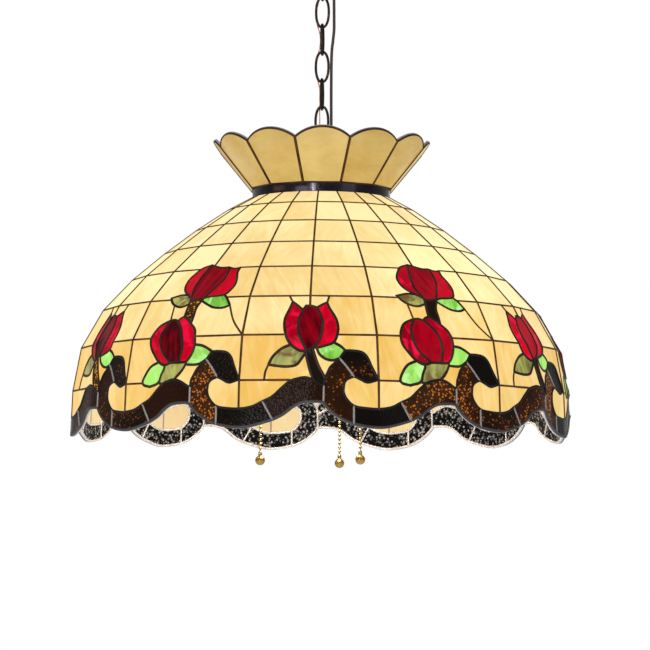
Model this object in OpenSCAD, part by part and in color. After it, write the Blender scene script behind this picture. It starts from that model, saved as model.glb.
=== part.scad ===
// Chain-hung stained-glass pendant: ceiling fitting, chain and cord, three-light
// cluster with pull switches, and a leaded dome under a crown of glass petals.
// The origin is the centre of the two ceiling screws, and the lamp hangs towards -Z.

/* [Hanging] */
// Ceiling down to the widest seam of the dome
drop = 500; // [500:1:520]
// Ceiling canopy radius
canopy_r = 68; // [64:1:72]
// Ceiling canopy depth
canopy_h = 28; // [26:1:28]
// Distance between the two ceiling screws
screw_spacing = 88.9; // [84:0.1:96]

/* [Chain] */
// Wire diameter of a chain link
link_wire = 2.6; // [2.4:0.1:2.7]
// Outer width of a chain link
link_w = 15.9; // [15.5:0.1:16]
// Distance from one link to the next
link_pitch = 28.45; // [28.45:0.01:28.6]

/* [Shade] */
// Glass thickness
glass_t = 3; // [2.5:0.1:3.4]
// Half of the gap that a solder line fills between two pieces of glass
half_gap = 0.9; // [0.7:0.1:1.1]
// How far a solder line stands out of the glass
bead_rise = 0.8; // [0.5:0.1:1]
// Neck band height
band_h = 12; // [10:0.5:14]
// Length of a crown petal from neck to valley
petal_side = 52.5; // [48:0.5:56]
// Lean of the crown petals from vertical, degrees
petal_lean = 38.7; // [36:0.1:41]

/* [Lights] */
// Height of the cluster above the widest seam
cluster_z = 95; // [90:1:98]
// Angle of the sockets below level, degrees
socket_dip = 15; // [12:1:18]
// Bulb glass radius
bulb_r = 30; // [25:1:32]
// Number of beads on each pull chain
bead_count = 24; // [20:1:25]
// Diameter of a bead
bead_d = 3.2; // [2.8:0.1:3.4]

/* [Hidden] */
fine = 48;

// ---- dome: flat panes between seam rings, 24 gores, (radius, height) of each ring
rings = [
    [71, 200], [96.5, 186], [129, 164], [161, 139.5], [193.5, 112], [222.5, 81], [244, 43],
    [252, 0], [254, -50]
];
gores = 24;
gore = 360 / gores;
repeats = 6;
step_r = [for (k = [0:7]) norm(rings[k + 1] - rings[k])];
function arc_to(k) = k == 0 ? 0 : arc_to(k - 1) + step_r[k - 1];
arcs = [for (k = [0:8]) arc_to(k)];
function unit(v) = v / norm(v);
function seam_normal(a, b) = unit([a.y - b.y, b.x - a.x]);
row_normal = [for (k = [0:7]) seam_normal(rings[k], rings[k + 1])];
// Offset direction at ring k that keeps every pane's faces parallel
function ring_miter(k) =
    let (
        a = row_normal[max(k - 1, 0)],
        b = row_normal[min(k, 7)],
        m = unit(a + b)
    ) m / (m * a);
function mix(a, b, f) = a + (b - a) * f;
function around(a, r, z) = [r * sin(a), -r * cos(a), z];
function ring_corner(j, k, t) =
    let (m = ring_miter(k)) around(j * gore, rings[k].x + m.x * t, rings[k].y + m.y * t);
// Point of pane (gore j, row k) at fractions f across and h down, t above mid-glass
function pane_point(j, k, f, h, t) = mix(
    mix(ring_corner(j, k, t), ring_corner(j + 1, k, t), f),
    mix(ring_corner(j, k + 1, t), ring_corner(j + 1, k + 1, t), f),
    h
);
function row_of(s) = s < arcs[1] ? 0 : s < arcs[2] ? 1 : s < arcs[3] ? 2 : s < arcs[4] ? 3
    : s < arcs[5] ? 4 : s < arcs[6] ? 5 : s < arcs[7] ? 6 : 7;
// Dome point at u degrees round from the front seam and s down the slope
function dome_point(u, s) =
    let (j = floor(u / gore), k = row_of(s))
    pane_point(j, k, u / gore - j, (s - arcs[k]) / step_r[k], 0);

// ---- flat view of a motif: its outline points seen square-on at (mid.x, mid.y)
function turn_z(p, a) = [p.x * cos(a) - p.y * sin(a), p.x * sin(a) + p.y * cos(a), p.z];
function flat_view(points, mid) =
    let (k = row_of(mid.y), down = unit(rings[k + 1] - rings[k]), c = dome_point(mid.x, mid.y))
    [for (p = points)
        let (d = turn_z(dome_point(p.x, p.y) - c, -mid.x)) [d.x, d.y * down.x - d.z * down.y]];
// Polygon with every edge moved inwards by d
function inset(pts, d) =
    let (n = len(pts), turn = sign(area2(pts)))
    [for (i = [0:n - 1])
        let (
            a = unit(pts[i] - pts[(i + n - 1) % n]),
            b = unit(pts[(i + 1) % n] - pts[i]),
            na = turn * [-a.y, a.x],
            nb = turn * [-b.y, b.x],
            m = unit(na + nb)
        ) pts[i] + m * d / max(m * na, 0.35)];
function area2(p, i = 0) = i == len(p) ? 0
    : let (a = p[i], b = p[(i + 1) % len(p)]) a.x * b.y - b.x * a.y + area2(p, i + 1);

// ---- motif outlines: (degrees round, millimetres down the slope)
rose_mid = [0, 240];
rose_sides = [
    [[-4.2, 200.5], [-5, 208], [-5.7, 219], [-5.7, 230], [-4.8, 242], [-3, 250], [-0.4, 253],
        [-1.6, 243], [-2.5, 231], [-2.4, 219], [-1.7, 209]],
    [[1.6, 207], [2.8, 218], [3, 228], [2.6, 238], [0.7, 250], [2.6, 249], [4.8, 245.5],
        [6.2, 236], [6.4, 226], [5.6, 212], [4, 201.2]]
];
rose_heart = [[-0.9, 205], [-1.7, 209], [-2.4, 219], [-2.5, 231], [-1.6, 243], [-0.4, 253],
    [0.7, 250], [2.6, 238], [3, 228], [2.8, 218], [1.6, 207]];
rose_leaf_olive = [[-1, 255], [-3.9, 250], [-6.1, 252], [-7.9, 258], [-8.8, 266.3], [-7, 267.6],
    [-4.9, 268.3], [-2.8, 267]];
rose_leaf_light = [[1.7, 253.5], [3.4, 250], [5.6, 247], [7, 248.6], [8, 252], [7.4, 257],
    [5.8, 261.5], [3.7, 260.5]];
rose_stem = [[-0.8, 256], [1.2, 256], [2.1, 267], [3, 277], [1.2, 277], [0, 267]];

low_mid = [27, 240];
low_sides = [
    [[24.9, 218], [22.2, 222.8], [21, 230.7], [20.6, 238.6], [21.1, 246.5], [22.5, 254.4],
        [24, 261], [25.8, 263.5], [27.4, 262.3], [24.9, 251], [23.6, 240], [23.6, 229.4]],
    [[28.6, 214.3], [27.2, 219], [28.9, 227], [29.9, 237.3], [30.4, 247.8], [29.9, 262],
        [31.7, 260.5], [32.9, 253], [33.4, 244], [33.1, 235], [32.4, 227], [31, 221]]
];
low_heart = [[25.4, 218.6], [23.6, 229.4], [23.6, 240], [24.9, 251], [27.4, 262.3],
    [29.9, 262], [30.4, 247.8], [29.9, 237.3], [28.9, 227], [27.2, 219]];
low_leaf_light = [[23.2, 262.4], [24.8, 264.8], [25.7, 268], [25, 276], [24.3, 281.4],
    [22.2, 283.6], [20.2, 281.5], [20.1, 277], [20.8, 271], [21.9, 265.8]];
low_leaf_olive = [[26.6, 268], [27.9, 265], [31, 265.4], [30.7, 270.5], [29.7, 275.5],
    [27.6, 278], [25.9, 279.5], [26, 274]];
low_leaf_side = [[33.6, 247], [35.2, 247.5], [37.5, 254.4], [36.8, 261], [34.9, 263.6],
    [32.2, 263.3], [33, 256]];

bud_mid = [31, 170];
bud_sides = [
    [[28.6, 145.5], [26.1, 149], [24.6, 156], [23.6, 165], [23.9, 176], [25.2, 184], [28.3, 193],
        [27.6, 179.4], [27.5, 169], [27.8, 158]],
    [[35, 150.4], [35.3, 160], [34.9, 170], [34.1, 180], [32.9, 191.5], [36.2, 190.6],
        [38.4, 185], [39.3, 176], [39.1, 166], [38.5, 158], [38.6, 151.6]]
];
bud_heart = [[29, 147], [27.8, 158], [27.5, 169], [27.6, 179.4], [28.3, 193], [29.9, 195],
    [32.9, 191.5], [34.1, 180], [34.9, 170], [35.3, 160], [34.6, 151]];
bud_leaf_light = [[32, 197.5], [34.3, 195.2], [38, 193.4], [39.2, 198], [39.8, 203.2], [38, 205.7],
    [35.9, 205], [33.8, 201.6]];
bud_leaf_olive = [[21.8, 191.6], [24.9, 188.4], [27, 190], [28.5, 196], [28, 200.3], [26.2, 203],
    [24, 200.5], [22.5, 196]];
bud_stem = [[29.2, 198], [31.3, 199], [32.2, 220], [31, 219], [30, 216], [29.3, 208]];

scroll_mid = [18, 290];
scroll_head = [[7.9, 252.8], [9.7, 252.5], [11.5, 253.8], [12.7, 258.4], [13.6, 267.6],
    [14.5, 276], [14.6, 281], [12.7, 283], [11.3, 280.5], [9.7, 277.5], [7.6, 260]];
scroll_left = [[7.6, 260], [9.7, 277.5], [8.2, 280.5], [7.5, 286], [7.5, 292.6], [8.2, 299],
    [10.4, 306], [9.4, 321], [7.6, 318], [5.5, 312.4], [3.9, 306], [3.25, 300.5], [3.25, 286],
    [3.9, 275.5], [4.8, 269], [6.2, 262.4]];
scroll_base = [[10.4, 306], [12.1, 307.2], [15.1, 307.8], [17.9, 305.7], [20.1, 301.6],
    [22.4, 315], [21.4, 319.8], [18.4, 323], [15.7, 325], [12.7, 324.2], [9.4, 321]];
scroll_right = [[20.1, 301.6], [22.2, 296.5], [24, 289.3], [25.8, 282.7], [27.5, 280],
    [29.3, 278.8], [31.1, 281.4], [33.2, 286.5], [33.2, 301.3], [30.5, 301], [28.5, 302.2],
    [26.7, 306], [24.6, 313], [22.4, 315]];
curl_left = [[8.7, 280.6], [11.2, 283], [12.8, 285], [15, 284.5], [15, 307.8], [12.1, 307.2],
    [10.4, 306], [8.2, 299], [7.5, 292.6], [7.5, 286]];
curl_right = [[15, 284.5], [16, 281.8], [25.8, 282.4], [24, 289.3], [22.2, 296.5], [20.1, 301.6],
    [17.9, 305.7], [15, 307.8]];
roses = concat(rose_sides, [rose_heart, rose_leaf_olive, rose_leaf_light, rose_stem]);
low_roses = concat(low_sides, [low_heart, low_leaf_light, low_leaf_olive, low_leaf_side]);
buds = concat(bud_sides, [bud_heart, bud_leaf_light, bud_leaf_olive, bud_stem]);
scroll = [scroll_head, scroll_left, scroll_base, scroll_right];

// ---- hanging parts, heights above the dome's widest seam
link_l = link_pitch + 2 * link_wire + 0.3;
link_count = 7;
chain_turn = -7;
first_link_z = 424.45;
loop_wire = 4.5;
loop_r = 11.25;
joint_gap = 0.3;
link_end = link_l / 2 - link_wire / 2;
canopy_loop_z = first_link_z + link_end - link_wire / 2 - joint_gap - loop_wire / 2 + loop_r;
last_link_z = first_link_z - (link_count - 1) * link_pitch;
lower_loop_z = last_link_z - link_end + link_wire / 2 + joint_gap + loop_wire / 2 - loop_r;
pipe_r = 4.85;
pipe_bore = 3.5;
neck_z = rings[0].y;
neck_r = rings[0].x;
stem_top = lower_loop_z - loop_r - 2.5;
spider_reach = sqrt(pow(neck_r - 2, 2) - 36) - 0.02;

// Routes, heights above the widest seam
cord_d = 3;
cord_route = [[12.2, 0, 484], [12.2, 0.6, 474], [12.1, 3, 467], [12.1, 4.4, 460], [12, 4.6, 448],
    [12, 4.4, 438], [11.9, 2.8, 429], [11.8, 1.4, 420], [11.8, 1, 409], [12, 1, 390], [12, 1, 378],
    [10.9, 1.2, 366], [9.8, 1.4, 356], [9.4, 1.4, 340], [9.4, 1.4, 325], [9.4, 1.4, 310],
    [9.5, 1.2, 295], [9.6, 1.2, 282], [9.6, 1.6, 270], [9, 3, 260], [8.2, 4.6, 252], [6.6, 5.6, 244],
    [4.6, 5.2, 236], [2.6, 3.6, 229], [1.4, 1.6, 223], [1, 0.4, 216], [1, 0, 206], [1, 0, 190],
    [1, 0, 160], [1, 0, 130], [1, 0, 108]];
wire_d = 1.2;
wire_route = [[9.4, 0, 484], [9.4, 0.6, 472], [8.6, 2.6, 462], [6, 3.6, 452], [3, 3.4, 440],
    [0, 2.8, 425], [-3.4, 2.6, 410], [-6.2, 3, 398], [-5.4, 2.9, 384], [-2.3, 2.5, 372],
    [-2.3, 2.5, 362], [-5, 2.9, 350], [-6.2, 3, 339], [-5, 2.9, 327], [-2.4, 2.5, 316],
    [-2.4, 2.5, 304], [-2.4, 2.6, 292], [-2.3, 2.7, 282], [-2.4, 2.7, 270], [-2.5, 2.8, 262],
    [-2.5, 3, 250], [-2.5, 3.3, 239], [-2.3, 3, 230], [-1.8, 1.8, 221], [-1.6, 1, 212],
    [-1.6, 1, 200], [-1.6, 1, 170], [-1.6, 1, 140], [-1.6, 1, 108]];

// ---- helpers
module hang() translate([0, 0, -drop]) children();
module six() for (i = [0:repeats - 1]) rotate([0, 0, i * 60]) children();
module twelve() for (i = [0:2 * repeats - 1]) rotate([0, 0, i * 30]) children();
module ring_of(r, wire) rotate([90, 0, 0]) rotate_extrude($fn = fine) translate([r, 0])
    circle(d = wire, $fn = 24);
module tube(r, bore, h) difference() {
    cylinder(r = r, h = h, $fn = fine);
    translate([0, 0, -1]) cylinder(r = bore, h = h + 2, $fn = fine);
}
// Closed shell over gores j0..j1 and rows k0..k1, from t0 to t1 above mid-glass
module shell_patch(j0, j1, k0, k1, t0, t1) {
    w = j1 - j0 + 2;
    h = k1 - k0 + 2;
    n = w * h;
    function at(j, k, side) = side * n + (k - k0) * w + (j - j0);
    skins = [for (k = [k0:k1]) for (j = [j0:j1])
        each [[at(j, k, 1), at(j + 1, k, 1), at(j + 1, k + 1, 1), at(j, k + 1, 1)],
            [at(j, k, 0), at(j, k + 1, 0), at(j + 1, k + 1, 0), at(j + 1, k, 0)]]];
    rims = [for (j = [j0:j1])
        each [[at(j, k0, 0), at(j + 1, k0, 0), at(j + 1, k0, 1), at(j, k0, 1)],
            [at(j, k1 + 1, 0), at(j, k1 + 1, 1), at(j + 1, k1 + 1, 1), at(j + 1, k1 + 1, 0)]]];
    ends = [for (k = [k0:k1])
        each [[at(j0, k, 0), at(j0, k, 1), at(j0, k + 1, 1), at(j0, k + 1, 0)],
            [at(j1 + 1, k, 0), at(j1 + 1, k + 1, 0), at(j1 + 1, k + 1, 1), at(j1 + 1, k, 1)]]];
    polyhedron(
        [for (t = [t0, t1]) for (k = [k0:k1 + 1]) for (j = [j0:j1 + 1]) ring_corner(j, k, t)],
        concat(skins, rims, ends)
    );
}
// Prism that passes square through the dome at mid, with the outlines as its section
module through_dome(mid) {
    k = row_of(mid.y);
    down = rings[k + 1] - rings[k];
    c = dome_point(mid.x, mid.y);
    translate(c) rotate([0, 0, mid.x]) rotate([atan2(-down.y, down.x), 0, 0])
        translate([0, 0, -20]) linear_extrude(40) children();
}
module outlines(list, mid, d) for (p = list) polygon(inset(flat_view(p, mid), d));
module motif_glass(list, mid, j0, j1, k0, k1) intersection() {
    shell_patch(j0, j1, k0, k1, -glass_t / 2, glass_t / 2);
    through_dome(mid) outlines(list, mid, half_gap);
}
module motif_leading(list, mid, j0, j1, k0, k1) intersection() {
    shell_patch(j0, j1, k0, k1, -glass_t / 2 - bead_rise, glass_t / 2 + bead_rise);
    through_dome(mid) difference() {
        outlines(list, mid, -half_gap);
        outlines(list, mid, half_gap);
    }
}
module motif_cut(list, mid) through_dome(mid) outlines(list, mid, -half_gap);
module flower_cuts() {
    motif_cut(roses, rose_mid);
    motif_cut(low_roses, low_mid);
    motif_cut(buds, bud_mid);
}
module scroll_cuts() for (i = [-1:1]) rotate([0, 0, 30 * i]) {
    motif_cut(scroll, scroll_mid);
    motif_cut([curl_left, curl_right], scroll_mid);
}
// One pane of cream glass, short of its seams by the gap
module pane(j, k) {
    top = half_gap / (2 * rings[k].x * sin(gore / 2));
    low = half_gap / (2 * rings[k + 1].x * sin(gore / 2));
    h = half_gap / step_r[k];
    corners = [[top, h], [1 - top, h], [1 - low, 1 - h], [low, 1 - h]];
    polyhedron(
        [for (t = [-glass_t / 2, glass_t / 2]) for (c = corners) pane_point(j, k, c.x, c.y, t)],
        [[0, 3, 2, 1], [4, 5, 6, 7], [0, 1, 5, 4], [1, 2, 6, 5], [2, 3, 7, 6], [3, 0, 4, 7]]
    );
}
// Round cord swept along a route
function side_of(d) = unit(cross(d, [0, 1, 0.001]));
function route_dir(r, i) = unit(r[min(i + 1, len(r) - 1)] - r[max(i - 1, 0)]);
module cord(route, d) {
    sides = 8;
    n = len(route);
    points = [for (i = [0:n - 1])
        let (dir = route_dir(route, i), a = side_of(dir), b = cross(dir, a))
        for (q = [0:sides - 1])
            route[i] + d / 2 * (a * cos(q * 360 / sides) + b * sin(q * 360 / sides))];
    walls = [for (i = [0:n - 2]) for (q = [0:sides - 1])
        let (e = (q + 1) % sides)
        each [[i * sides + q, i * sides + e, (i + 1) * sides + e],
            [i * sides + q, (i + 1) * sides + e, (i + 1) * sides + q]]];
    lids = [[for (q = [sides - 1:-1:0]) q], [for (q = [0:sides - 1]) (n - 1) * sides + q]];
    polyhedron(points, concat(walls, lids));
}

// ---- ceiling fitting
module crossbar() color("silver") difference() {
    translate([-56, -11, -2]) cube([112, 22, 2]);
    translate([0, 0, -3]) cylinder(r = pipe_r, h = 4, $fn = fine);
    for (x = [-1, 1]) translate([x * screw_spacing / 2, 0, -3]) {
        translate([-4, -2.4, 0]) cube([8, 4.8, 4]);
        for (e = [-4, 4]) translate([e, 0, 0]) cylinder(r = 2.4, h = 4, $fn = fine);
    }
    translate([20, 0, -3]) cylinder(r = 1.9, h = 4, $fn = fine);
}
module canopy() color("#3a2d20") difference() {
    canopy_solid(canopy_r, canopy_h);
    canopy_solid(canopy_r - 1.2, canopy_h - 1.2);
    translate([0, 0, -canopy_h - 1]) cylinder(r = pipe_r, h = 6, $fn = fine);
    translate([11.4, 0, -canopy_h - 1]) cylinder(r = 4.2, h = 6, $fn = fine);
}
module canopy_solid(r, h) rotate([180, 0, 0]) rotate_extrude($fn = 96) polygon(concat(
    [[0, 0], [r, 0], [r, 3]],
    [for (a = [10:10:80]) [r - 22 + 22 * cos(a), 3 + (h - 3) * sin(a)]],
    [[r - 22, h], [0, h]]
));
module top_nipple() color("goldenrod") translate([0, 0, -canopy_h - 11])
    tube(pipe_r, pipe_bore, canopy_h + 12);
module nut(z) translate([0, 0, z]) difference() {
    cylinder(r = 8, h = 4, $fn = 6);
    translate([0, 0, -1]) cylinder(r = pipe_r, h = 6, $fn = fine);
}
module canopy_nut() color("silver") nut(-6);
module canopy_loop() color("#2f261c") difference() {
    hang() {
        translate([0, 0, canopy_loop_z]) rotate(chain_turn) ring_of(loop_r, loop_wire);
        translate([0, 0, canopy_loop_z + loop_r - 1.5])
            cylinder(r = 7, h = drop - canopy_h - canopy_loop_z - loop_r + 1.5, $fn = fine);
    }
    translate([0, 0, -canopy_h - 11]) cylinder(r = pipe_r, h = 12, $fn = fine);
}
module cord_bushing() color("#201810") translate([11.4, 0, -canopy_h - 1.5]) difference() {
    union() {
        cylinder(r = 4.2, h = 4, $fn = fine);
        cylinder(r = 4.35, h = 1.5, $fn = fine);
    }
    translate([0, 0, -1]) cylinder(r = 3.4, h = 6, $fn = fine);
}
module ground_screw() color("green") translate([20, 0, -4.4]) {
    cylinder(r = 3.6, h = 2.4, $fn = fine);
    cylinder(r = 1.9, h = 6, $fn = fine);
}
module lamp_cord() color("#5a3320") hang() cord(cord_route, cord_d);
module ground_wire() color("#b08a7a") hang() cord(wire_route, wire_d);

// ---- chain
module oval_link() {
    bow_r = link_w / 2 - link_wire / 2;
    side = link_l / 2 - link_w / 2;
    for (e = [0, 180]) rotate([0, e, 0]) {
        translate([0, 0, side]) rotate([90, 0, 0]) rotate_extrude(angle = 180, $fn = fine)
            translate([bow_r, 0]) circle(d = link_wire, $fn = 24);
        translate([bow_r, 0, -side]) cylinder(d = link_wire, h = 2 * side, $fn = 24);
    }
}
// Odd links are seen nearly edge-on from the front, even links nearly face-on
module chain_link(i) color("#2f261c") hang() translate([0, 0, first_link_z - (i - 1) * link_pitch])
    rotate(chain_turn + i % 2 * 90) oval_link();

// ---- shade carrier
module lower_loop() color("#2f261c") hang() difference() {
    union() {
        translate([0, 0, lower_loop_z]) rotate(chain_turn) ring_of(loop_r, loop_wire);
        translate([0, 0, neck_z + 6])
            cylinder(r = 7, h = lower_loop_z - loop_r + 1.5 - neck_z - 6, $fn = fine);
    }
    translate([0, 0, neck_z]) cylinder(r = pipe_r, h = stem_top - neck_z, $fn = fine);
    cylinder(r = pipe_bore, h = lower_loop_z - loop_r + 3, $fn = fine);
}
module stem() color("goldenrod") hang() translate([0, 0, cluster_z + 10])
    tube(pipe_r, pipe_bore, stem_top - cluster_z - 10);
module stem_nuts() color("goldenrod") hang() {
    nut(neck_z - 3.5);
    nut(cluster_z + 16);
}
module spider() color("silver") hang() translate([0, 0, neck_z + 0.5]) linear_extrude(3) difference() {
    union() {
        circle(r = 12, $fn = fine);
        for (i = [0:2]) rotate(120 * i + 30) translate([8, -6]) square([spider_reach - 8, 12]);
    }
    circle(r = pipe_r, $fn = fine);
}
module neck_band() color("#3a3440") hang() translate([0, 0, neck_z - 0.5]) difference() {
    cylinder(r = neck_r, h = band_h + 1, $fn = 96);
    translate([0, 0, -1]) cylinder(r = neck_r - 2, h = band_h + 3, $fn = 96);
}

// ---- crown of flat petals
petal_foot = neck_r * sin(15);
petal_top = petal_foot + petal_side * 0.168;
petal_rise = 11.6;
crown_turn = 3;
petal_arc = (petal_top * petal_top + petal_rise * petal_rise) / (2 * petal_rise);
petal_sweep = asin(petal_top / petal_arc);
petal_outline = concat(
    [[-petal_foot, 0], [petal_foot, 0]],
    [for (i = [0:8])
        let (a = petal_sweep * (1 - i / 4))
        [petal_arc * sin(a), petal_side + petal_rise - petal_arc * (1 - cos(a))]]
);
module crown_place() hang() for (i = [0:11]) rotate(crown_turn + 30 * i)
    translate([0, -neck_r * cos(15), neck_z + band_h + 0.5]) rotate([90 + petal_lean, 0, 0])
        children();
module crown_glass() color("#d9bd78") crown_place() linear_extrude(glass_t)
    polygon(inset(petal_outline, half_gap));
module crown_leading() color("#241a12") crown_place() translate([0, 0, -bead_rise])
    linear_extrude(glass_t + 2 * bead_rise) difference() {
        polygon(inset(petal_outline, 0.25));
        polygon(inset(petal_outline, half_gap));
    }

// ---- dome glass
module cream_upper() color("#f2dc9a") hang() for (k = [0:2]) for (j = [0:gores - 1]) pane(j, k);
module cream_middle() color("#f2dc9a") hang() six() difference() {
    for (k = [3:4]) for (j = [-1:2]) pane(j, k);
    flower_cuts();
}
module cream_lower() color("#f2dc9a") hang() six() difference() {
    for (k = [5:6]) for (j = [-1:2]) pane(j, k);
    flower_cuts();
    scroll_cuts();
}
module curl_glass() color("#f2dc9a") hang() twelve()
    motif_glass([curl_left, curl_right], scroll_mid, 0, 1, 6, 7);
module rose_petals() color("#d01030") hang() six() {
    motif_glass(rose_sides, rose_mid, -1, 0, 4, 6);
    motif_glass(low_sides, low_mid, 1, 2, 4, 6);
}
module rose_hearts() color("#7a0016") hang() six() {
    motif_glass([rose_heart], rose_mid, -1, 0, 4, 6);
    motif_glass([low_heart], low_mid, 1, 2, 4, 6);
}
module bud_petals() color("#d01030") hang() six() motif_glass(bud_sides, bud_mid, 1, 2, 3, 5);
module bud_hearts() color("#7a0016") hang() six() motif_glass([bud_heart], bud_mid, 1, 2, 3, 5);
module leaves_light() color("#90d060") hang() six() {
    motif_glass([rose_leaf_light], rose_mid, -1, 0, 5, 7);
    motif_glass([low_leaf_light, low_leaf_side], low_mid, 1, 2, 5, 7);
    motif_glass([bud_leaf_light], bud_mid, 1, 2, 3, 5);
}
module leaves_olive() color("#8a8a45") hang() six() {
    motif_glass([rose_leaf_olive], rose_mid, -1, 0, 5, 7);
    motif_glass([low_leaf_olive], low_mid, 1, 2, 5, 7);
    motif_glass([bud_leaf_olive], bud_mid, 1, 2, 3, 5);
}
module stems() color("#3b2a18") hang() six() {
    motif_glass([rose_stem], rose_mid, -1, 0, 5, 7);
    motif_glass([bud_stem], bud_mid, 1, 2, 4, 5);
}
module scroll_dark() color("#1e150f") hang() twelve()
    motif_glass([scroll_head, scroll_base], scroll_mid, 0, 2, 5, 7);
module scroll_amber() color("#6b3a14") hang() twelve()
    motif_glass([scroll_left, scroll_right], scroll_mid, 0, 2, 5, 7);

// ---- solder lines between the cream panes
seam_t = glass_t / 2 + bead_rise;
// Bar with four-cornered stations, each [outer side, outer side, inner side, inner side]
module seam_bar(stations) {
    n = len(stations);
    polyhedron(
        [for (st = stations) each st],
        concat(
            [[0, 3, 2, 1], [4 * n - 4, 4 * n - 3, 4 * n - 2, 4 * n - 1]],
            [for (i = [0:n - 2]) for (q = [0:3])
                let (e = (q + 1) % 4) [4 * i + q, 4 * i + e, 4 * i + 4 + e, 4 * i + 4 + q]]
        )
    );
}
function rib_station(j, k, h) =
    let (w = half_gap / (2 * mix(rings[k].x, rings[k + 1].x, h) * sin(gore / 2)))
    [pane_point(j - 1, k, 1 - w, h, seam_t), pane_point(j, k, w, h, seam_t),
        pane_point(j, k, w, h, -seam_t), pane_point(j - 1, k, 1 - w, h, -seam_t)];
// Rib down the seam between two gores, from the neck to s
module rib(j, s) {
    last = row_of(s);
    seam_bar(concat(
        [for (k = [0:last]) rib_station(j, k, 0)],
        [rib_station(j, last, (s - arcs[last]) / step_r[last])]
    ));
}
function ring_station(k, u) =
    let (j = floor(u / gore), f = u / gore - j)
    let (up = 1 - half_gap / step_r[k - 1], down = half_gap / step_r[k])
    [pane_point(j, k, f, down, seam_t), pane_point(j, k - 1, f, up, seam_t),
        pane_point(j, k - 1, f, up, -seam_t), pane_point(j, k, f, down, -seam_t)];
// Level seam at ring k, from u0 to u1 degrees round
module ring_arc(k, u0, u1) seam_bar(concat(
    [ring_station(k, u0)],
    [for (j = [floor(u0 / gore) + 1:ceil(u1 / gore) - 1]) ring_station(k, j * gore)],
    [ring_station(k, u1)]
));
// Seams end where a flower or the scroll begins: [ring, from, to] in each sixth
broken_rings = [[4, -21.4, 25], [5, -21, 21.6], [6, -15, -5.9], [6, 6.6, 20.4], [6, 33.6, 45],
    [7, -15.4, -9.4], [7, 14.8, 19.8]];
module leading_ribs() color("#241a12") hang() six() {
    rib(0, 203);
    rib(1, 307);
    rib(2, 145);
    rib(3, 307);
}
module leading_rings() color("#241a12") hang() {
    for (k = [1:3]) ring_arc(k, 0, 359.999);
    six() for (r = broken_rings) ring_arc(r[0], r[1], r[2]);
}
module leading_flowers() color("#241a12") hang() six() {
    motif_leading(roses, rose_mid, -1, 0, 4, 7);
    motif_leading(low_roses, low_mid, 1, 2, 4, 7);
    motif_leading(buds, bud_mid, 1, 2, 3, 5);
}
module leading_scroll() color("#241a12") hang() twelve()
    motif_leading(concat(scroll, [curl_left, curl_right]), scroll_mid, 0, 2, 5, 7);

// ---- light cluster
socket_turn = -46.6;
cap_from = 38;
cap_h = 19;
shell_r = 19;
shell_h = 48;
bell_at = 72;
bell_end = 30;
module at_sockets() hang() for (i = [0:2]) rotate([0, 0, socket_turn + 120 * i])
    translate([0, 0, cluster_z]) rotate([0, 90 + socket_dip, 0]) children();
module cluster_body() color("goldenrod") hang() translate([0, 0, cluster_z]) difference() {
    translate([0, 0, -14]) cylinder(r = 24, h = 28, $fn = fine);
    translate([0, 0, -15]) cylinder(r = 22, h = 27, $fn = fine);
    translate([0, 0, 5]) cylinder(r = pipe_r, h = 12, $fn = fine);
    for (i = [0:2]) rotate([0, 0, socket_turn + 120 * i]) rotate([0, 90 + socket_dip, 0])
        cylinder(r = pipe_r, h = 30, $fn = fine);
}
module cluster_cover() color("goldenrod") hang() translate([0, 0, cluster_z - 14]) difference() {
    translate([0, 0, -2]) cylinder(r = 25, h = 2, $fn = fine);
    translate([0, 0, -3]) cylinder(r = 2.5, h = 4, $fn = fine);
}
module finial() color("goldenrod") hang() translate([0, 0, cluster_z - 16]) {
    cylinder(r = 2.5, h = 8, $fn = 32);
    translate([0, 0, -2]) cylinder(r = 6, h = 2, $fn = 32);
    translate([0, 0, -7]) sphere(r = 6.2, $fn = 32);
}
module socket_arms() color("goldenrod") at_sockets() translate([0, 0, 19])
    tube(pipe_r, pipe_bore, cap_from - 15);
module socket_caps() color("#b8903a") at_sockets() translate([0, 0, cap_from]) difference() {
    rotate_extrude($fn = fine) polygon([[0, 0], [7, 0], [10, 3], [19, 11], [20.2, 14],
        [20.2, cap_h], [19, cap_h], [19, 14.6], [9.4, 4.2], [0, 4]]);
    translate([0, 0, -1]) cylinder(r = pipe_r, h = 8, $fn = fine);
}
module socket_shells() color("#b8903a") at_sockets() difference() {
    translate([0, 0, cap_from + 16]) tube(shell_r, shell_r - 1, shell_h);
    translate([0, 0, bell_at]) rotate([0, 90, 0]) cylinder(r = 3.2, h = 30, $fn = fine);
}
module socket_liners() color("#4a4038") at_sockets() difference() {
    translate([0, 0, cap_from + 16]) tube(shell_r - 1, shell_r - 2.2, shell_h - 2);
    translate([0, 0, bell_at]) rotate([0, 90, 0]) cylinder(r = 3.2, h = 30, $fn = fine);
}
module switch_cores() color("#2a2a2a") at_sockets() translate([0, 0, cap_from + 18]) difference() {
    cylinder(r = 15.5, h = 20, $fn = fine);
    translate([0, 0, 14.5]) cylinder(r = 4, h = 10, $fn = fine);
    translate([0, 0, bell_at - cap_from - 18]) rotate([0, 90, 0]) cylinder(r = 3, h = 30, $fn = fine);
}
module screw_shells() color("goldenrod") at_sockets() translate([0, 0, cap_from + 38])
    tube(14.2, 13.5, 24);
module centre_contacts() color("goldenrod") at_sockets() translate([0, 0, cap_from + 32.5])
    cylinder(r = 3.5, h = 6.5, $fn = 32);
module switch_bells() color("#b8903a") at_sockets() translate([shell_r, 0, bell_at]) rotate([0, 90, 0])
    difference() {
        rotate_extrude($fn = fine) polygon([[0, -1.4], [3.2, -1.4], [3.2, 1], [3.6, 4], [5.4, 11],
            [4.6, 11], [0, 11]]);
        translate([0, 0, -3]) cylinder(r = 2.5, h = 16, $fn = fine);
    }
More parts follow.
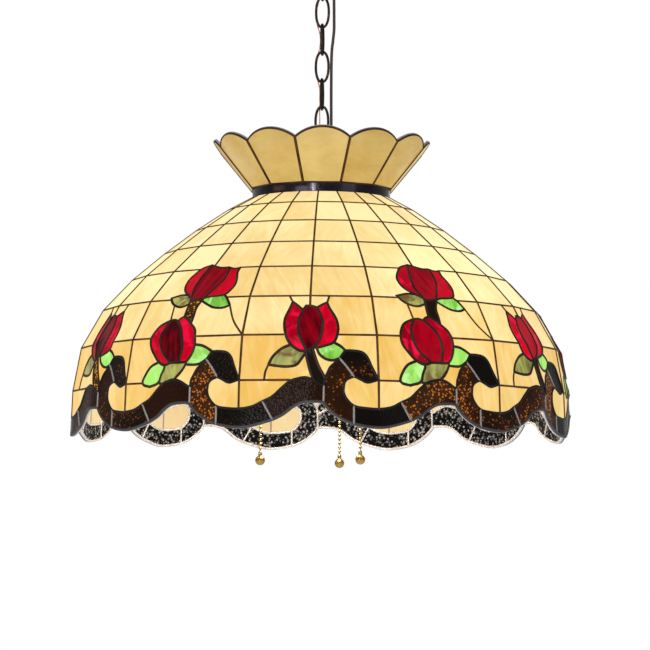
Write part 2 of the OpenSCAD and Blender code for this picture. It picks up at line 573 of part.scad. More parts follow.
module bulb_bases() color("silver") at_sockets() translate([0, 0, cap_from + 39]) difference() {
    union() {
        translate([0, 0, 1]) cylinder(r1 = 6, r2 = 13, h = 3, $fn = fine);
        cylinder(r = 4.6, h = 2, $fn = fine);
        translate([0, 0, 4]) cylinder(r = 13, h = 22, $fn = fine);
    }
    translate([0, 0, 6]) cylinder(r = 12.4, h = 30, $fn = fine);
}
bulb_neck = 12.38;
function bulb_outline(wall) = concat(
    [[0, -4], [bulb_neck - wall, -4], [bulb_neck - wall, 2]],
    [for (a = [-55:10:85]) [(bulb_r - wall) * cos(a), 50 + (bulb_r - wall) * sin(a)]],
    [[0, 50 + bulb_r - wall]]
);
module bulb_glass() color("white") at_sockets() translate([0, 0, cap_from + 65]) difference() {
    rotate_extrude($fn = fine) polygon(bulb_outline(0));
    translate([0, 0, 1]) rotate_extrude($fn = fine) polygon(bulb_outline(1));
}

// ---- pull chains
bead_pitch = 4.3;
chain_r = bell_at * cos(socket_dip) - bell_end * sin(socket_dip);
bell_z = cluster_z - bell_at * sin(socket_dip) - bell_end * cos(socket_dip);
first_bead_z = bell_z + 1.6;
ball_r = 5;
module at_chain(i) hang() rotate([0, 0, socket_turn + 120 * (i - 1)]) translate([chain_r, 0, 0]) children();
module beads(from, count) for (i = [0:count - 1]) translate([0, 0, from - i * bead_pitch]) {
    sphere(d = bead_d, $fn = 24);
    if (i < count - 1) translate([0, 0, -bead_pitch]) cylinder(r = 0.5, h = bead_pitch, $fn = 16);
}
module switch_bead(i) color("gold") at_chain(i) beads(first_bead_z, 2);
module pull_chain(i) color("gold") at_chain(i) {
    top = first_bead_z - 2 * bead_pitch;
    last = top - (bead_count - 1) * bead_pitch;
    beads(top, bead_count);
    translate([0, 0, last - ball_r - 3]) {
        cylinder(r = 1.9, h = ball_r + 3, $fn = 24);
        sphere(r = ball_r, $fn = 48);
    }
}

crossbar();
canopy();
top_nipple();
canopy_nut();
canopy_loop();
cord_bushing();
ground_screw();
lamp_cord();
ground_wire();
chain_link(1);  // chain_link_1
chain_link(2);  // chain_link_2
chain_link(3);  // chain_link_3
chain_link(4);  // chain_link_4
chain_link(5);  // chain_link_5
chain_link(6);  // chain_link_6
chain_link(7);  // chain_link_7
lower_loop();
stem();
stem_nuts();
spider();
neck_band();
crown_glass();
crown_leading();
cream_upper();
cream_middle();
cream_lower();
curl_glass();
rose_petals();
rose_hearts();
bud_petals();
bud_hearts();
leaves_light();
leaves_olive();
stems();
scroll_dark();
scroll_amber();
leading_ribs();
leading_rings();
leading_flowers();
leading_scroll();
cluster_body();
cluster_cover();
finial();
socket_arms();
socket_caps();
socket_shells();
socket_liners();
switch_cores();
screw_shells();
centre_contacts();
switch_bells();
bulb_bases();
bulb_glass();
switch_bead(1);  // switch_bead_1
switch_bead(2);  // switch_bead_2
switch_bead(3);  // switch_bead_3
pull_chain(1);  // pull_chain_1
pull_chain(2);  // pull_chain_2
pull_chain(3);  // pull_chain_3
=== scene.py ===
import math
import random

import bpy
from mathutils import Matrix, Vector
from mathutils.geometry import delaunay_2d_cdt, intersect_point_tri_2d
from mathutils.kdtree import KDTree


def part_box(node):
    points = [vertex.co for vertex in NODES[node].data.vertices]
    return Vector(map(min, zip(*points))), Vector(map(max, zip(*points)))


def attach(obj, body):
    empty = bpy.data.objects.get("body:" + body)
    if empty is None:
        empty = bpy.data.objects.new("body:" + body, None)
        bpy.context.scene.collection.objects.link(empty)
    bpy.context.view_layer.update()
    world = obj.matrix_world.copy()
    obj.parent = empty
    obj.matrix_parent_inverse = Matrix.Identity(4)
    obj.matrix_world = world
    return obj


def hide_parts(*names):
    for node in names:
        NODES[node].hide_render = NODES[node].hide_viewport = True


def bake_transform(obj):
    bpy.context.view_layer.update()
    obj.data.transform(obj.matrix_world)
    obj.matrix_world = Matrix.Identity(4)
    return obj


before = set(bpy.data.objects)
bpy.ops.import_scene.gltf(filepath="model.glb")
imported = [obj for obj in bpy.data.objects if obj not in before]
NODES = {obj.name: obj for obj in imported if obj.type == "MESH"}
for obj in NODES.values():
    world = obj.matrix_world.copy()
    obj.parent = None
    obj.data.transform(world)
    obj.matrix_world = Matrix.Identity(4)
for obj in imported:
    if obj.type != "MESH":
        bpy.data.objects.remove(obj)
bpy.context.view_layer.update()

MM = 0.001
GLASS_T = 3.0 * MM
BALL_TOP = 9.5 * MM  # above a pull's lowest point
BEAD_RISE = 0.8 * MM
SECTORS = 6
SECTOR_TURN = 360 // SECTORS
BAND_LOW, BAND_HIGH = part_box("neck_band")
NECK_Z = BAND_LOW.z + 0.5 * MM
WAIST_Z = NECK_Z - 200 * MM
NECK_R = BAND_HIGH.x
PETAL_Z = BAND_HIGH.z
dice = random.Random(11)


def squared_off(value, power):
    """A sine or cosine raised to a power, its sign kept. Below 1, the power makes an oval squarer."""
    return math.copysign(abs(value) ** power, value)


def waist(height):
    """Height in metres of a point that is so many millimetres above the dome's widest seam."""
    return WAIST_Z + height * MM


def link(obj):
    bpy.context.scene.collection.objects.link(obj)
    return obj


class Builder:
    """Collects the vertices, faces and per-vertex values of one piece."""

    def __init__(self):
        self.verts = []
        self.faces = []
        self.values = {}

    def add(self, verts, faces, **values):
        base = len(self.verts)
        self.verts += [tuple(v) for v in verts]
        self.faces += [tuple(base + i for i in f) for f in faces]
        for name, value in values.items():
            column = self.values.setdefault(name, [])
            column += value if isinstance(value, list) else [value] * len(verts)

    def build(self, name, material, sharp=35):
        mesh = bpy.data.meshes.new(name)
        mesh.from_pydata(self.verts, [], self.faces)
        mesh.shade_smooth()
        mesh.set_sharp_from_angle(angle=math.radians(sharp))
        for key, column in self.values.items():
            if isinstance(column[0], float):
                mesh.attributes.new(key, "FLOAT", "POINT").data.foreach_set("value", column)
            else:
                flat = [x for v in column for x in v]
                mesh.attributes.new(key, "FLOAT_VECTOR", "POINT").data.foreach_set("vector", flat)
        mesh.materials.append(material)
        return link(bpy.data.objects.new(name, mesh))


def settle(piece, body, slot, *nodes):
    """The piece rides on a body and stands for the CAD nodes. The slot is not used."""
    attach(piece, body)
    if nodes:
        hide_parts(*nodes)


# ---- camera, floor and lights


def make_camera():
    data = bpy.data.cameras.new("camera")
    data.lens = 163.17
    data.sensor_width = 36
    data.clip_end = 30
    camera = link(bpy.data.objects.new("camera", data))
    turn = Matrix.Rotation(math.radians(2.441), 4, "Z")
    tilt = Matrix.Rotation(math.radians(94.749), 4, "X")
    roll = Matrix.Rotation(math.radians(0.3197), 4, "Z")
    camera.matrix_world = Matrix.Translation((0.13219, -2.99773, -0.6767)) @ turn @ tilt @ roll
    bpy.context.scene.camera = camera


def area_light(name, place, aim, size, watts, colour=(1, 1, 1)):
    data = bpy.data.lights.new(name, "AREA")
    data.shape = "RECTANGLE"
    data.size, data.size_y = size
    data.energy = watts
    data.color = colour
    lamp = link(bpy.data.objects.new(name, data))
    lamp.location = place
    lamp.rotation_euler = (Vector(aim) - Vector(place)).to_track_quat("-Z", "Y").to_euler()


def make_floor():
    size = 12.0
    z = -1.35
    steps = 12
    builder = Builder()
    row = steps + 1
    grid = [-size + 2 * size * i / steps for i in range(row)]
    verts = [(x, y, z) for y in grid for x in grid]
    corners = [r * row + c for r in range(steps) for c in range(steps)]
    faces = [(i, i + 1, i + row + 1, i + row) for i in corners]
    builder.add(verts, faces)
    material = bpy.data.materials.new("floor_paper")
    material.use_nodes = True
    shader = material.node_tree.nodes["Principled BSDF"]
    shader.inputs["Base Color"].default_value = (0.93, 0.93, 0.93, 1)
    shader.inputs["Roughness"].default_value = 0.9
    shader.inputs["Emission Color"].default_value = (1, 1, 1, 1)
    shader.inputs["Emission Strength"].default_value = 0.35
    builder.build("floor", material)


def make_studio():
    """White paper all round for the camera, with softer light from it on the lamp."""
    scene = bpy.context.scene
    scene.view_settings.view_transform = "Standard"
    world = bpy.data.worlds.new("studio")
    world.use_nodes = True
    tree = world.node_tree
    background = tree.nodes["Background"]
    background.inputs["Color"].default_value = (1, 1, 1, 1)
    seen = tree.nodes.new("ShaderNodeLightPath").outputs["Is Camera Ray"]
    strength = tree.nodes.new("ShaderNodeMapRange")
    strength.inputs["To Min"].default_value = 0.42
    tree.links.new(seen, strength.inputs["Value"])
    tree.links.new(strength.outputs[0], background.inputs["Strength"])
    scene.world = world
    make_floor()
    centre = (0, 0, waist(60))
    area_light("key", (-1.3, -2.2, 0.6), centre, (1.0, 1.4), 14)
    area_light("fill", (1.8, -1.6, -0.2), centre, (1.0, 1.6), 5)
    area_light("back", (0.4, 2.4, 0.5), centre, (1.6, 1.2), 3)
    area_light("strip", (-0.45, -2.3, 0.0), (0, 0, NECK_Z), (0.09, 1.2), 16)
    area_light("lit_bulbs", (0, 0, waist(60)), (0, 0, waist(-100)), (0.1, 0.1), 1.7, (1, 0.9, 0.76))
    area_light("warm_side", (-2.2, -0.7, 0.0), (0, 0, NECK_Z), (0.9, 0.6), 3, (1, 0.5, 0.35))


# ---- materials


class Shader:
    """Node tree of one material, with its principled shader."""

    def __init__(self, name):
        self.material = bpy.data.materials.new(name)
        self.material.use_nodes = True
        self.tree = self.material.node_tree
        self.main = self.tree.nodes["Principled BSDF"]

    def node(self, kind, inputs, **settings):
        made = self.tree.nodes.new("ShaderNode" + kind)
        for key, value in settings.items():
            setattr(made, key, value)
        for key, value in inputs.items():
            self.feed(made.inputs[key], value)
        return made.outputs

    def feed(self, socket, value):
        if isinstance(value, bpy.types.NodeSocket):
            self.tree.links.new(value, socket)
        else:
            socket.default_value = value

    def set(self, **values):
        for key, value in values.items():
            self.feed(self.main.inputs[key.replace("_", " ").replace("  ", " ")], value)

    def attribute(self, name):
        return self.node("Attribute", {}, attribute_name=name)

    def place(self):
        return self.node("TexCoord", {})["Object"]

    def noise(self, coords, scale, detail=3.0, rough=0.5, distortion=0.0):
        inputs = {"Vector": coords, "Scale": scale, "Detail": detail}
        return self.node("TexNoise", {**inputs, "Roughness": rough, "Distortion": distortion})["Fac"]

    def maths(self, operation, a, b=0.0, clamp=False):
        return self.node("Math", {0: a, 1: b}, operation=operation, use_clamp=clamp)[0]

    def mix(self, factor, a, b):
        made = self.tree.nodes.new("ShaderNodeMix")
        made.data_type = "RGBA"
        for key, value in ((0, factor), (6, a), (7, b)):
            self.feed(made.inputs[key], value)
        return made.outputs[2]

    def spread(self, value, low, high, to_low=0.0, to_high=1.0):
        inputs = {"Value": value, "From Min": low, "From Max": high, "To Min": to_low, "To Max": to_high}
        return self.node("MapRange", inputs, clamp=True)[0]

    def bump(self, height, depth, strength=1.0):
        normal = self.node("Bump", {"Height": height, "Distance": depth, "Strength": strength})["Normal"]
        self.set(Normal=normal)

    def scaled(self, vector, factors):
        return self.node("VectorMath", {0: vector, 1: factors}, operation="MULTIPLY")[0]


def rgb(r, g, b):
    """Linear colour from display values of 0 to 255."""
    def linear(c):
        c /= 255
        return c / 12.92 if c <= 0.04045 else ((c + 0.055) / 1.055) ** 2.4

    return (linear(r), linear(g), linear(b), 1)


def metal(name, worn, dark, roughness, grain=900.0, metallic=1.0, pits=0.00012):
    """Metal whose colour runs from dark in patches to worn, with a fine uneven surface."""
    s = Shader(name)
    where = s.place()
    patches = s.noise(where, grain * 0.12, 4.0, 0.6)
    fine = s.noise(where, grain, 3.0)
    wear = s.maths("ADD", s.maths("MULTIPLY", patches, 0.7), s.maths("MULTIPLY", fine, 0.3))
    s.set(Base_Color=s.mix(s.spread(wear, 0.36, 0.64), dark, worn), Metallic=metallic)
    s.set(Roughness=s.spread(fine, 0.3, 0.7, roughness - 0.07, roughness + 0.1))
    s.bump(fine, pits)
    return s.material


def plastic(name, light, dark, roughness, grain=1400.0):
    s = Shader(name)
    fine = s.noise(s.place(), grain, 4.0)
    s.set(Base_Color=s.mix(s.spread(fine, 0.35, 0.65), dark, light))
    s.set(Roughness=s.spread(fine, 0.3, 0.7, roughness - 0.06, roughness + 0.08))
    s.bump(fine, 0.00008)
    return s.material


def glass(name, deep, pale, body=0.3, glow=0.8, streak=(30.0, 160.0), hue=None, smoke=0.5, contrast=1.0,
          inside=None, gloss=0.14):
    """Lit art glass. Streaks run along each piece's own grain, each piece has its own tint,
    and the glass is deeper in colour where depth is high. It may be paler inside, as painted light of the
    bulbs."""
    s = Shader(name)
    grain = s.attribute("grain")["Vector"]
    tint = s.attribute("tint")["Fac"]
    lit = s.attribute("glow")["Fac"]
    depth = s.attribute("depth")["Fac"]
    streaks = s.noise(s.scaled(grain, (streak[0], streak[1], streak[0])), 1.0, 3.0, 0.55, 0.6)
    clouds = s.noise(grain, 24.0, 2.0, 0.5)
    shade = s.maths("ADD", s.maths("MULTIPLY", streaks, smoke), s.maths("MULTIPLY", clouds, 1 - smoke))
    shade = s.maths("ADD", s.spread(shade, 0.34, 0.66, -0.5, 0.5), s.maths("SUBTRACT", tint, 0.5))
    shade = s.maths("SUBTRACT", s.maths("MULTIPLY", shade, contrast), depth)
    colour = s.mix(s.maths("ADD", shade, 0.85, clamp=True), deep, pale)
    if hue:
        colour = s.mix(s.spread(s.noise(grain, 45.0, 3.0, 0.6, 1.2), 0.52, 0.66), colour, hue)
    # paler inner faces: painted light of the bulbs on the inner side of the glass
    if inside:
        colour = s.mix(s.maths("MULTIPLY", s.attribute("inner")["Fac"], 0.7), colour, inside)
    s.set(Base_Color=s.mix(body, (0, 0, 0, 1), colour))
    s.set(Emission_Color=colour, Emission_Strength=s.maths("MULTIPLY", lit, glow))
    s.set(Roughness=0.16, Specular_IOR_Level=gloss)
    ripple = s.noise(grain, 140.0, 2.0, 0.4, 0.4)
    s.bump(ripple, 0.0005, 0.4)
    return s.material


def hammered_glass(name, ground, glint, share, inside_glint):
    """Dark cathedral glass with a hammered face. Its dimples carry painted glints, amber outside and white
    inside.
    A share of the dimples, more of them in the pieces of high tint, carry the painted amber glints outside."""
    s = Shader(name)
    grain = s.attribute("grain")["Vector"]
    tint = s.attribute("tint")["Fac"]
    inner = s.attribute("inner")["Fac"]
    cells = s.node("TexVoronoi", {"Vector": grain, "Scale": 400.0})
    dots = s.spread(cells["Distance"], 0.12, 0.48, 1.0, 0.0)
    luck = s.node("SeparateColor", {"Color": cells["Color"]})["Red"]
    patches = s.spread(s.noise(grain, 40.0, 2.0), 0.36, 0.6)
    chance = s.maths("MULTIPLY", patches, s.maths("MULTIPLY", s.spread(tint, 0.45, 0.75), share))
    chosen = s.spread(s.maths("SUBTRACT", chance, luck), 0.0, 0.7)
    # faint painted amber glow over the pieces that glint
    painted_amber_glow = s.maths("MULTIPLY", chance, 0.025)
    outer_colour = s.mix(s.maths("MAXIMUM", s.maths("MULTIPLY", dots, chosen), painted_amber_glow), ground, glint)
    spots = s.spread(cells["Distance"], 0.25, 0.6, 1.0, 0.0)
    sparkle = s.maths("MULTIPLY", spots, s.spread(luck, 0.35, 0.8))
    inner_colour = s.mix(sparkle, (0.003, 0.003, 0.004, 1), inside_glint)
    colour = s.mix(inner, outer_colour, inner_colour)
    s.set(Base_Color=s.mix(0.2, (0, 0, 0, 1), colour), Emission_Color=colour)
    s.set(Emission_Strength=0.85, Roughness=0.2, Specular_IOR_Level=0.05)
    s.bump(s.maths("SUBTRACT", 0.0, cells["Distance"]), 0.0007, 0.5)
    return s.material


def solder(name):
    """Patina solder outside, brown between cream panes and grey-black round the motifs.
    Tin-coloured where it faces the bulbs and at the scroll's seams, partly as bare solder and partly as a
    painted sheen of reflected light."""
    s = Shader(name)
    where = s.place()
    bright = s.attribute("bright")["Fac"]
    rough = s.noise(where, 700.0, 4.0, 0.6)
    patch = s.spread(s.noise(where, 60.0, 3.0, 0.5), 0.35, 0.7)
    brown = s.mix(patch, rgb(52, 31, 16), rgb(96, 62, 30))
    black = s.mix(patch, rgb(14, 14, 16), rgb(34, 33, 36))
    patina = s.mix(s.attribute("warm")["Fac"], black, brown)
    # tin grey, which also stands for a painted sheen of reflected light
    tin_and_sheen_colour = s.mix(s.spread(rough, 0.3, 0.7), rgb(176, 170, 172), rgb(244, 238, 236))
    s.set(Base_Color=s.mix(bright, patina, tin_and_sheen_colour))
    s.set(Metallic=s.spread(bright, 0.0, 1.0, 0.1, 0.25), Specular_IOR_Level=0.12)
    s.set(Roughness=s.spread(rough, 0.3, 0.7, 0.3, 0.46))
    s.bump(rough, 0.0003, 0.7)
    return s.material


def pull_brass(name, light, dark, ball, ball_top):
    """Bright brass beads above, and a darker ball below the height ball_top."""
    s = Shader(name)
    where = s.place()
    fine = s.noise(where, 1500.0, 3.0)
    height = s.node("SeparateXYZ", {"Vector": where})["Z"]
    beads = s.mix(s.spread(fine, 0.35, 0.65), dark, light)
    above = s.spread(height, ball_top, ball_top + 0.0005)
    s.set(Base_Color=s.mix(above, ball, beads), Metallic=1.0)
    s.set(Roughness=s.spread(fine, 0.3, 0.7, 0.12, 0.24))
    return s.material


CREAM = glass("cream_art_glass", rgb(230, 182, 86), rgb(255, 236, 174), 0.3, 0.86, contrast=0.5,
              inside=rgb(216, 198, 158))
CROWN = glass("crown_art_glass", rgb(192, 154, 74), rgb(236, 208, 134), 0.35, 0.62, (60.0, 120.0), smoke=0.3,
              contrast=0.45, inside=rgb(214, 208, 190))
CRIMSON = glass("crimson_art_glass", rgb(130, 0, 24), rgb(206, 0, 32), 0.12, 1.0, hue=rgb(240, 10, 62),
                gloss=0.05)
GARNET = glass("garnet_art_glass", rgb(64, 0, 8), rgb(166, 0, 26), 0.12, 0.95, contrast=1.3, gloss=0.05)
LEAF = glass("leaf_art_glass", rgb(88, 158, 36), rgb(162, 226, 106), 0.25, 0.98, hue=rgb(180, 234, 140))
OLIVE = glass("olive_art_glass", rgb(84, 80, 36), rgb(184, 186, 100), 0.3, 0.75, hue=rgb(112, 84, 42),
              contrast=1.2)
STEM = hammered_glass("stem_art_glass", rgb(26, 17, 10), rgb(250, 168, 52), 2.4, rgb(180, 172, 160))
# colour of the painted white glints of the bulbs on the scroll glass's inner face
SCROLL_INSIDE_GLINT = rgb(176, 168, 160)
SCROLL_DARK = hammered_glass("scroll_dark_glass", rgb(13, 9, 7), rgb(180, 96, 36), 0.9, SCROLL_INSIDE_GLINT)
SCROLL_AMBER = hammered_glass("scroll_amber_glass", rgb(34, 15, 6), rgb(214, 126, 48), 2.0, SCROLL_INSIDE_GLINT)
SOLDER = solder("patina_solder")
BRONZE = metal("antique_bronze", rgb(64, 52, 44), rgb(24, 20, 18), 0.36)
BAND_BRONZE = metal("band_bronze", rgb(54, 49, 56), rgb(40, 37, 43), 0.16, pits=0.000005)
STEEL = metal("zinc_steel", rgb(196, 196, 192), rgb(150, 150, 150), 0.36)
BRASS_PLATE = metal("brass_plate", rgb(214, 176, 96), rgb(160, 120, 52), 0.3)
SOCKET_BRASS = metal("socket_brass", rgb(206, 168, 92), rgb(142, 106, 48), 0.3)
PULL_BRASS = pull_brass("pull_brass", rgb(196, 176, 128), rgb(128, 108, 70), rgb(168, 136, 76),
                        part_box("pull_chain_1")[0].z + BALL_TOP)
GREEN_STEEL = metal("green_steel", rgb(60, 140, 70), rgb(30, 90, 44), 0.4, metallic=0.6)
BASE_METAL = metal("bulb_base_metal", rgb(206, 204, 198), rgb(150, 148, 142), 0.28)
PHENOLIC = plastic("phenolic", rgb(40, 36, 34), rgb(22, 20, 19), 0.42)
CARD = plastic("insulating_card", rgb(108, 92, 72), rgb(70, 58, 46), 0.8)
BUSHING = plastic("bushing_black", rgb(34, 32, 31), rgb(18, 17, 17), 0.5)
CORD_BROWN = plastic("cord_brown", rgb(58, 28, 26), rgb(32, 15, 16), 0.5, 2600.0)
COPPER = metal("wire_copper", rgb(214, 158, 134), rgb(150, 98, 78), 0.3, 2400.0)


def frosted_bulb():
    s = Shader("frosted_bulb")
    fine = s.noise(s.place(), 1600.0, 3.0)
    s.set(Base_Color=s.mix(fine, rgb(240, 232, 214), rgb(255, 250, 238)), Roughness=0.5)
    s.set(Emission_Color=s.mix(fine, rgb(255, 226, 170), rgb(255, 238, 200)), Emission_Strength=2.2)
    s.bump(fine, 0.00005)
    return s.material


FROSTED = frosted_bulb()


# ---- cord and ground wire, in lengths cut round the chain's pivots
# Heights and routes are in millimetres, from the lamp's axis and the dome's widest seam

PIVOTS = [436.275, 408.775, 380.325, 351.875, 323.425, 294.975, 266.525, 238.075]
CHAIN_BODIES = ["ceiling_fitting"] + ["link_%d" % i for i in range(1, 8)] + ["lamp"]
CUT_ABOVE = PIVOTS[0] + 13.75
CUT_BELOW = PIVOTS[-1] - 14
STRAND_STEP = 1.5 * MM
CORD_R = 1.5 * MM
CORD_ROUTE = [
    (12.2, 0, 484), (12.2, 0.6, 474), (12.1, 3, 467), (12.1, 4.4, 460), (12, 4.6, 448), (12, 4.4, 438),
    (11.9, 2.8, 429), (11.8, 1.4, 420), (11.8, 1, 409), (12, 1, 390), (12, 1, 378), (10.9, 1.2, 366),
    (9.8, 1.4, 356), (9.4, 1.4, 340), (9.4, 1.4, 325), (9.4, 1.4, 310), (9.5, 1.2, 295), (9.6, 1.2, 282),
    (9.6, 1.6, 270), (9, 3, 260), (8.2, 4.6, 252), (6.6, 5.6, 244), (4.6, 5.2, 236), (2.6, 3.6, 229),
    (1.4, 1.6, 223), (1, 0.4, 216), (1, 0, 206), (1, 0, 190), (1, 0, 160), (1, 0, 130), (1, 0, 108),
]
WIRE_R = 0.6 * MM
WIRE_ROUTE = [
    (9.4, 0, 484), (9.4, 0.6, 472), (8.6, 2.6, 462), (6, 3.6, 452), (3, 3.4, 440), (0, 2.8, 425),
    (-3.4, 2.6, 410), (-6.2, 3, 398), (-5.4, 2.9, 384), (-2.3, 2.5, 372), (-2.3, 2.5, 362),
    (-5, 2.9, 350), (-6.2, 3, 339), (-5, 2.9, 327), (-2.4, 2.5, 316), (-2.4, 2.5, 304), (-2.4, 2.6, 292),
    (-2.3, 2.7, 282), (-2.4, 2.7, 270), (-2.5, 2.8, 262), (-2.5, 3, 250), (-2.5, 3.3, 239), (-2.3, 3, 230),
    (-1.8, 1.8, 221), (-1.6, 1, 212), (-1.6, 1, 200), (-1.6, 1, 170), (-1.6, 1, 140), (-1.6, 1, 108),
]


def catmull(points, step):
    """Points along the smooth curve through the given ones, about step apart."""
    points = [Vector(p) for p in points]
    padded = [points[0] * 2 - points[1]] + points + [points[-1] * 2 - points[-2]]
    made = []
    for p0, p1, p2, p3 in zip(padded, padded[1:], padded[2:], padded[3:]):
        count = max(1, round((p2 - p1).length / step))
        for i in range(count):
            t = i / count
            made.append(0.5 * (2 * p1 + (p2 - p0) * t + (2 * p0 - 5 * p1 + 4 * p2 - p3) * t * t
                               + (3 * p1 - p0 - 3 * p2 + p3) * t * t * t))
    return made + [points[-1]]


def tube_faces(rings, sides):
    """Side faces and end caps of a tube with that many rings of vertices."""
    faces = [
        (r * sides + q, r * sides + (q + 1) % sides, (r + 1) * sides + (q + 1) % sides, (r + 1) * sides + q)
        for r in range(rings - 1)
        for q in range(sides)
    ]
    faces.append(tuple(range(sides - 1, -1, -1)))
    faces.append(tuple((rings - 1) * sides + q for q in range(sides)))
    return faces


def round_tube(path, radius, sides=14):
    verts = []
    for i, p in enumerate(path):
        along = (path[min(i + 1, len(path) - 1)] - path[max(i - 1, 0)]).normalized()
        a = along.cross(Vector((0, 1, 0.001))).normalized()
        b = along.cross(a)
        for q in range(sides):
            turn = math.tau * q / sides
            verts.append(p + radius * (a * math.cos(turn) + b * math.sin(turn)))
    return verts, tube_faces(len(path), sides)


def make_strand(name, route, radius, material, node):
    """Cord or wire in lengths: one spans each pivot and stays fixed in place, and the first and last ride
    whole.
    """
    line = catmull([(x * MM, y * MM, waist(z)) for x, y, z in route], STRAND_STEP)
    cuts = [CUT_ABOVE] + [(a + b) / 2 for a, b in zip(PIVOTS, PIVOTS[1:])] + [CUT_BELOW]
    cuts = [line[0].z] + [waist(c) for c in cuts] + [line[-1].z]
    overlap = STRAND_STEP / 2
    for i, (high, low) in enumerate(zip(cuts, cuts[1:])):
        path = [p for p in line if low - overlap <= p.z <= high + overlap]
        builder = Builder()
        builder.add(*round_tube(path, radius))
        piece = builder.build("%s_%d" % (name, i + 1), material)
        if 0 < i <= len(PIVOTS):
            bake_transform(piece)
        else:
            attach(piece, CHAIN_BODIES[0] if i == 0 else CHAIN_BODIES[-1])
        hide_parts(node)


# ---- chain links

LINK_PITCH = 28.45 * MM
LINK_WIRE_R = 1.35 * MM
LINK_HALF_W = 7.95 * MM - LINK_WIRE_R
LINK_HALF_L = 16.975 * MM - LINK_WIRE_R
LINK_SQUARE_X = 0.88
LINK_SQUARE_Z = 0.92
CHAIN_TURN = -7
FIRST_LINK_Z = 424.45 * MM


def make_link(i):
    """Bent-wire link: an oval a little squarer than an ellipse, turned a quarter from its neighbours."""
    steps = 72
    sides = 16
    spin = Matrix.Rotation(math.radians(CHAIN_TURN + i % 2 * 90), 3, "Z")
    centre = Vector((0, 0, WAIST_Z + FIRST_LINK_Z - (i - 1) * LINK_PITCH))
    ring = []
    for k in range(steps):
        turn = math.tau * k / steps
        x = LINK_HALF_W * squared_off(math.cos(turn), LINK_SQUARE_X)
        z = LINK_HALF_L * squared_off(math.sin(turn), LINK_SQUARE_Z)
        ring.append(Vector((x, 0, z)))
    normal = Vector((0, 1, 0))
    verts = []
    for k, p in enumerate(ring):
        along = (ring[(k + 1) % steps] - ring[k - 1]).normalized()
        out = normal.cross(along)
        for q in range(sides):
            turn = math.tau * q / sides
            skin = LINK_WIRE_R * (out * math.cos(turn) + normal * math.sin(turn))
            verts.append(centre + spin @ (p + skin))
    faces = [
        (k * sides + q, k * sides + (q + 1) % sides,
         (k + 1) % steps * sides + (q + 1) % sides, (k + 1) % steps * sides + q)
        for k in range(steps)
        for q in range(sides)
    ]
    builder = Builder()
    builder.add(verts, faces)
    piece = builder.build("oval_link_%d" % i, BRONZE, 60)
    settle(piece, "link_%d" % i, "antique_bronze", "chain_link_%d" % i)


# ---- dome surface: u degrees round from the front seam, s millimetres down the slope

# (radius, height above the widest seam) of each ring of seams, from the neck to the rim
RINGS = [
    (71, 200), (96.5, 186), (129, 164), (161, 139.5), (193.5, 112), (222.5, 81), (244, 43), (252, 0),
    (254, -50),
]
GORE = 15
STEPS = [math.dist(a, b) for a, b in zip(RINGS, RINGS[1:])]
ARCS = [sum(STEPS[:k]) for k in range(len(RINGS))]


def around(angle, r, z):
    a = math.radians(angle)
    return Vector((r * MM * math.sin(a), -r * MM * math.cos(a), waist(z)))


def dome_point(u, s):
    """Point of the faceted dome, in metres."""
    k = next((i for i in range(7) if s < ARCS[i + 1]), 7)
    down = (s - ARCS[k]) / STEPS[k]
    r = RINGS[k][0] + (RINGS[k + 1][0] - RINGS[k][0]) * down
    z = RINGS[k][1] + (RINGS[k + 1][1] - RINGS[k][1]) * down
    j = math.floor(u / GORE)
    return around(j * GORE, r, z).lerp(around((j + 1) * GORE, r, z), u / GORE - j)


def dome_normal(u, s, reach=1.2):
    across = reach * 0.25
    side = dome_point(u + across, s) - dome_point(u - across, s)
    down = dome_point(u, min(s + reach, ARCS[8])) - dome_point(u, max(s - reach, 0))
    return down.cross(side).normalized()


BULB_DISTANCE = 153.0
BULB_DIP = math.radians(15)
BULBS = [
    Vector((BULB_DISTANCE * math.cos(BULB_DIP) * math.cos(a) * MM,
            BULB_DISTANCE * math.cos(BULB_DIP) * math.sin(a) * MM,
            waist(95 - BULB_DISTANCE * math.sin(BULB_DIP))))
    for a in (math.radians(-46.6 + 120 * i) for i in range(3))
]


# distances in metres, and the glow of glass from stray light and from the bulbs
FULL_LIGHT_AT = 0.12
NEAREST_BULB = 0.07
STRAY_LIGHT = 0.78
BULB_LIGHT = 0.3
LIGHT_FADE = 0.5


def light_at(point, normal):
    """How brightly the bulbs light the glass at a point: 0.8 to about 1.1."""
    direct = 0.0
    for bulb in BULBS:
        away = point - bulb
        facing = max(0.0, away.normalized().dot(normal))
        direct += facing * (FULL_LIGHT_AT / max(away.length, NEAREST_BULB)) ** 2
    return STRAY_LIGHT + BULB_LIGHT * direct / (1 + LIGHT_FADE * direct)


# down the slope in millimetres, and the depth of colour there
PALE_ABOVE = 110
GOLDEN_BELOW = 260
GOLDEN_DEPTH = 0.55
PLAIN_DEPTH = 0.35


def depth_at(s):
    """How deep the cream's colour is: pale near the neck, golden towards the rim."""
    return GOLDEN_DEPTH * min(max((s - PALE_ABOVE) / (GOLDEN_BELOW - PALE_ABOVE), 0.0), 1.0)


# ---- lines of the pattern: smooth curves through (u, s) points, shared end to end

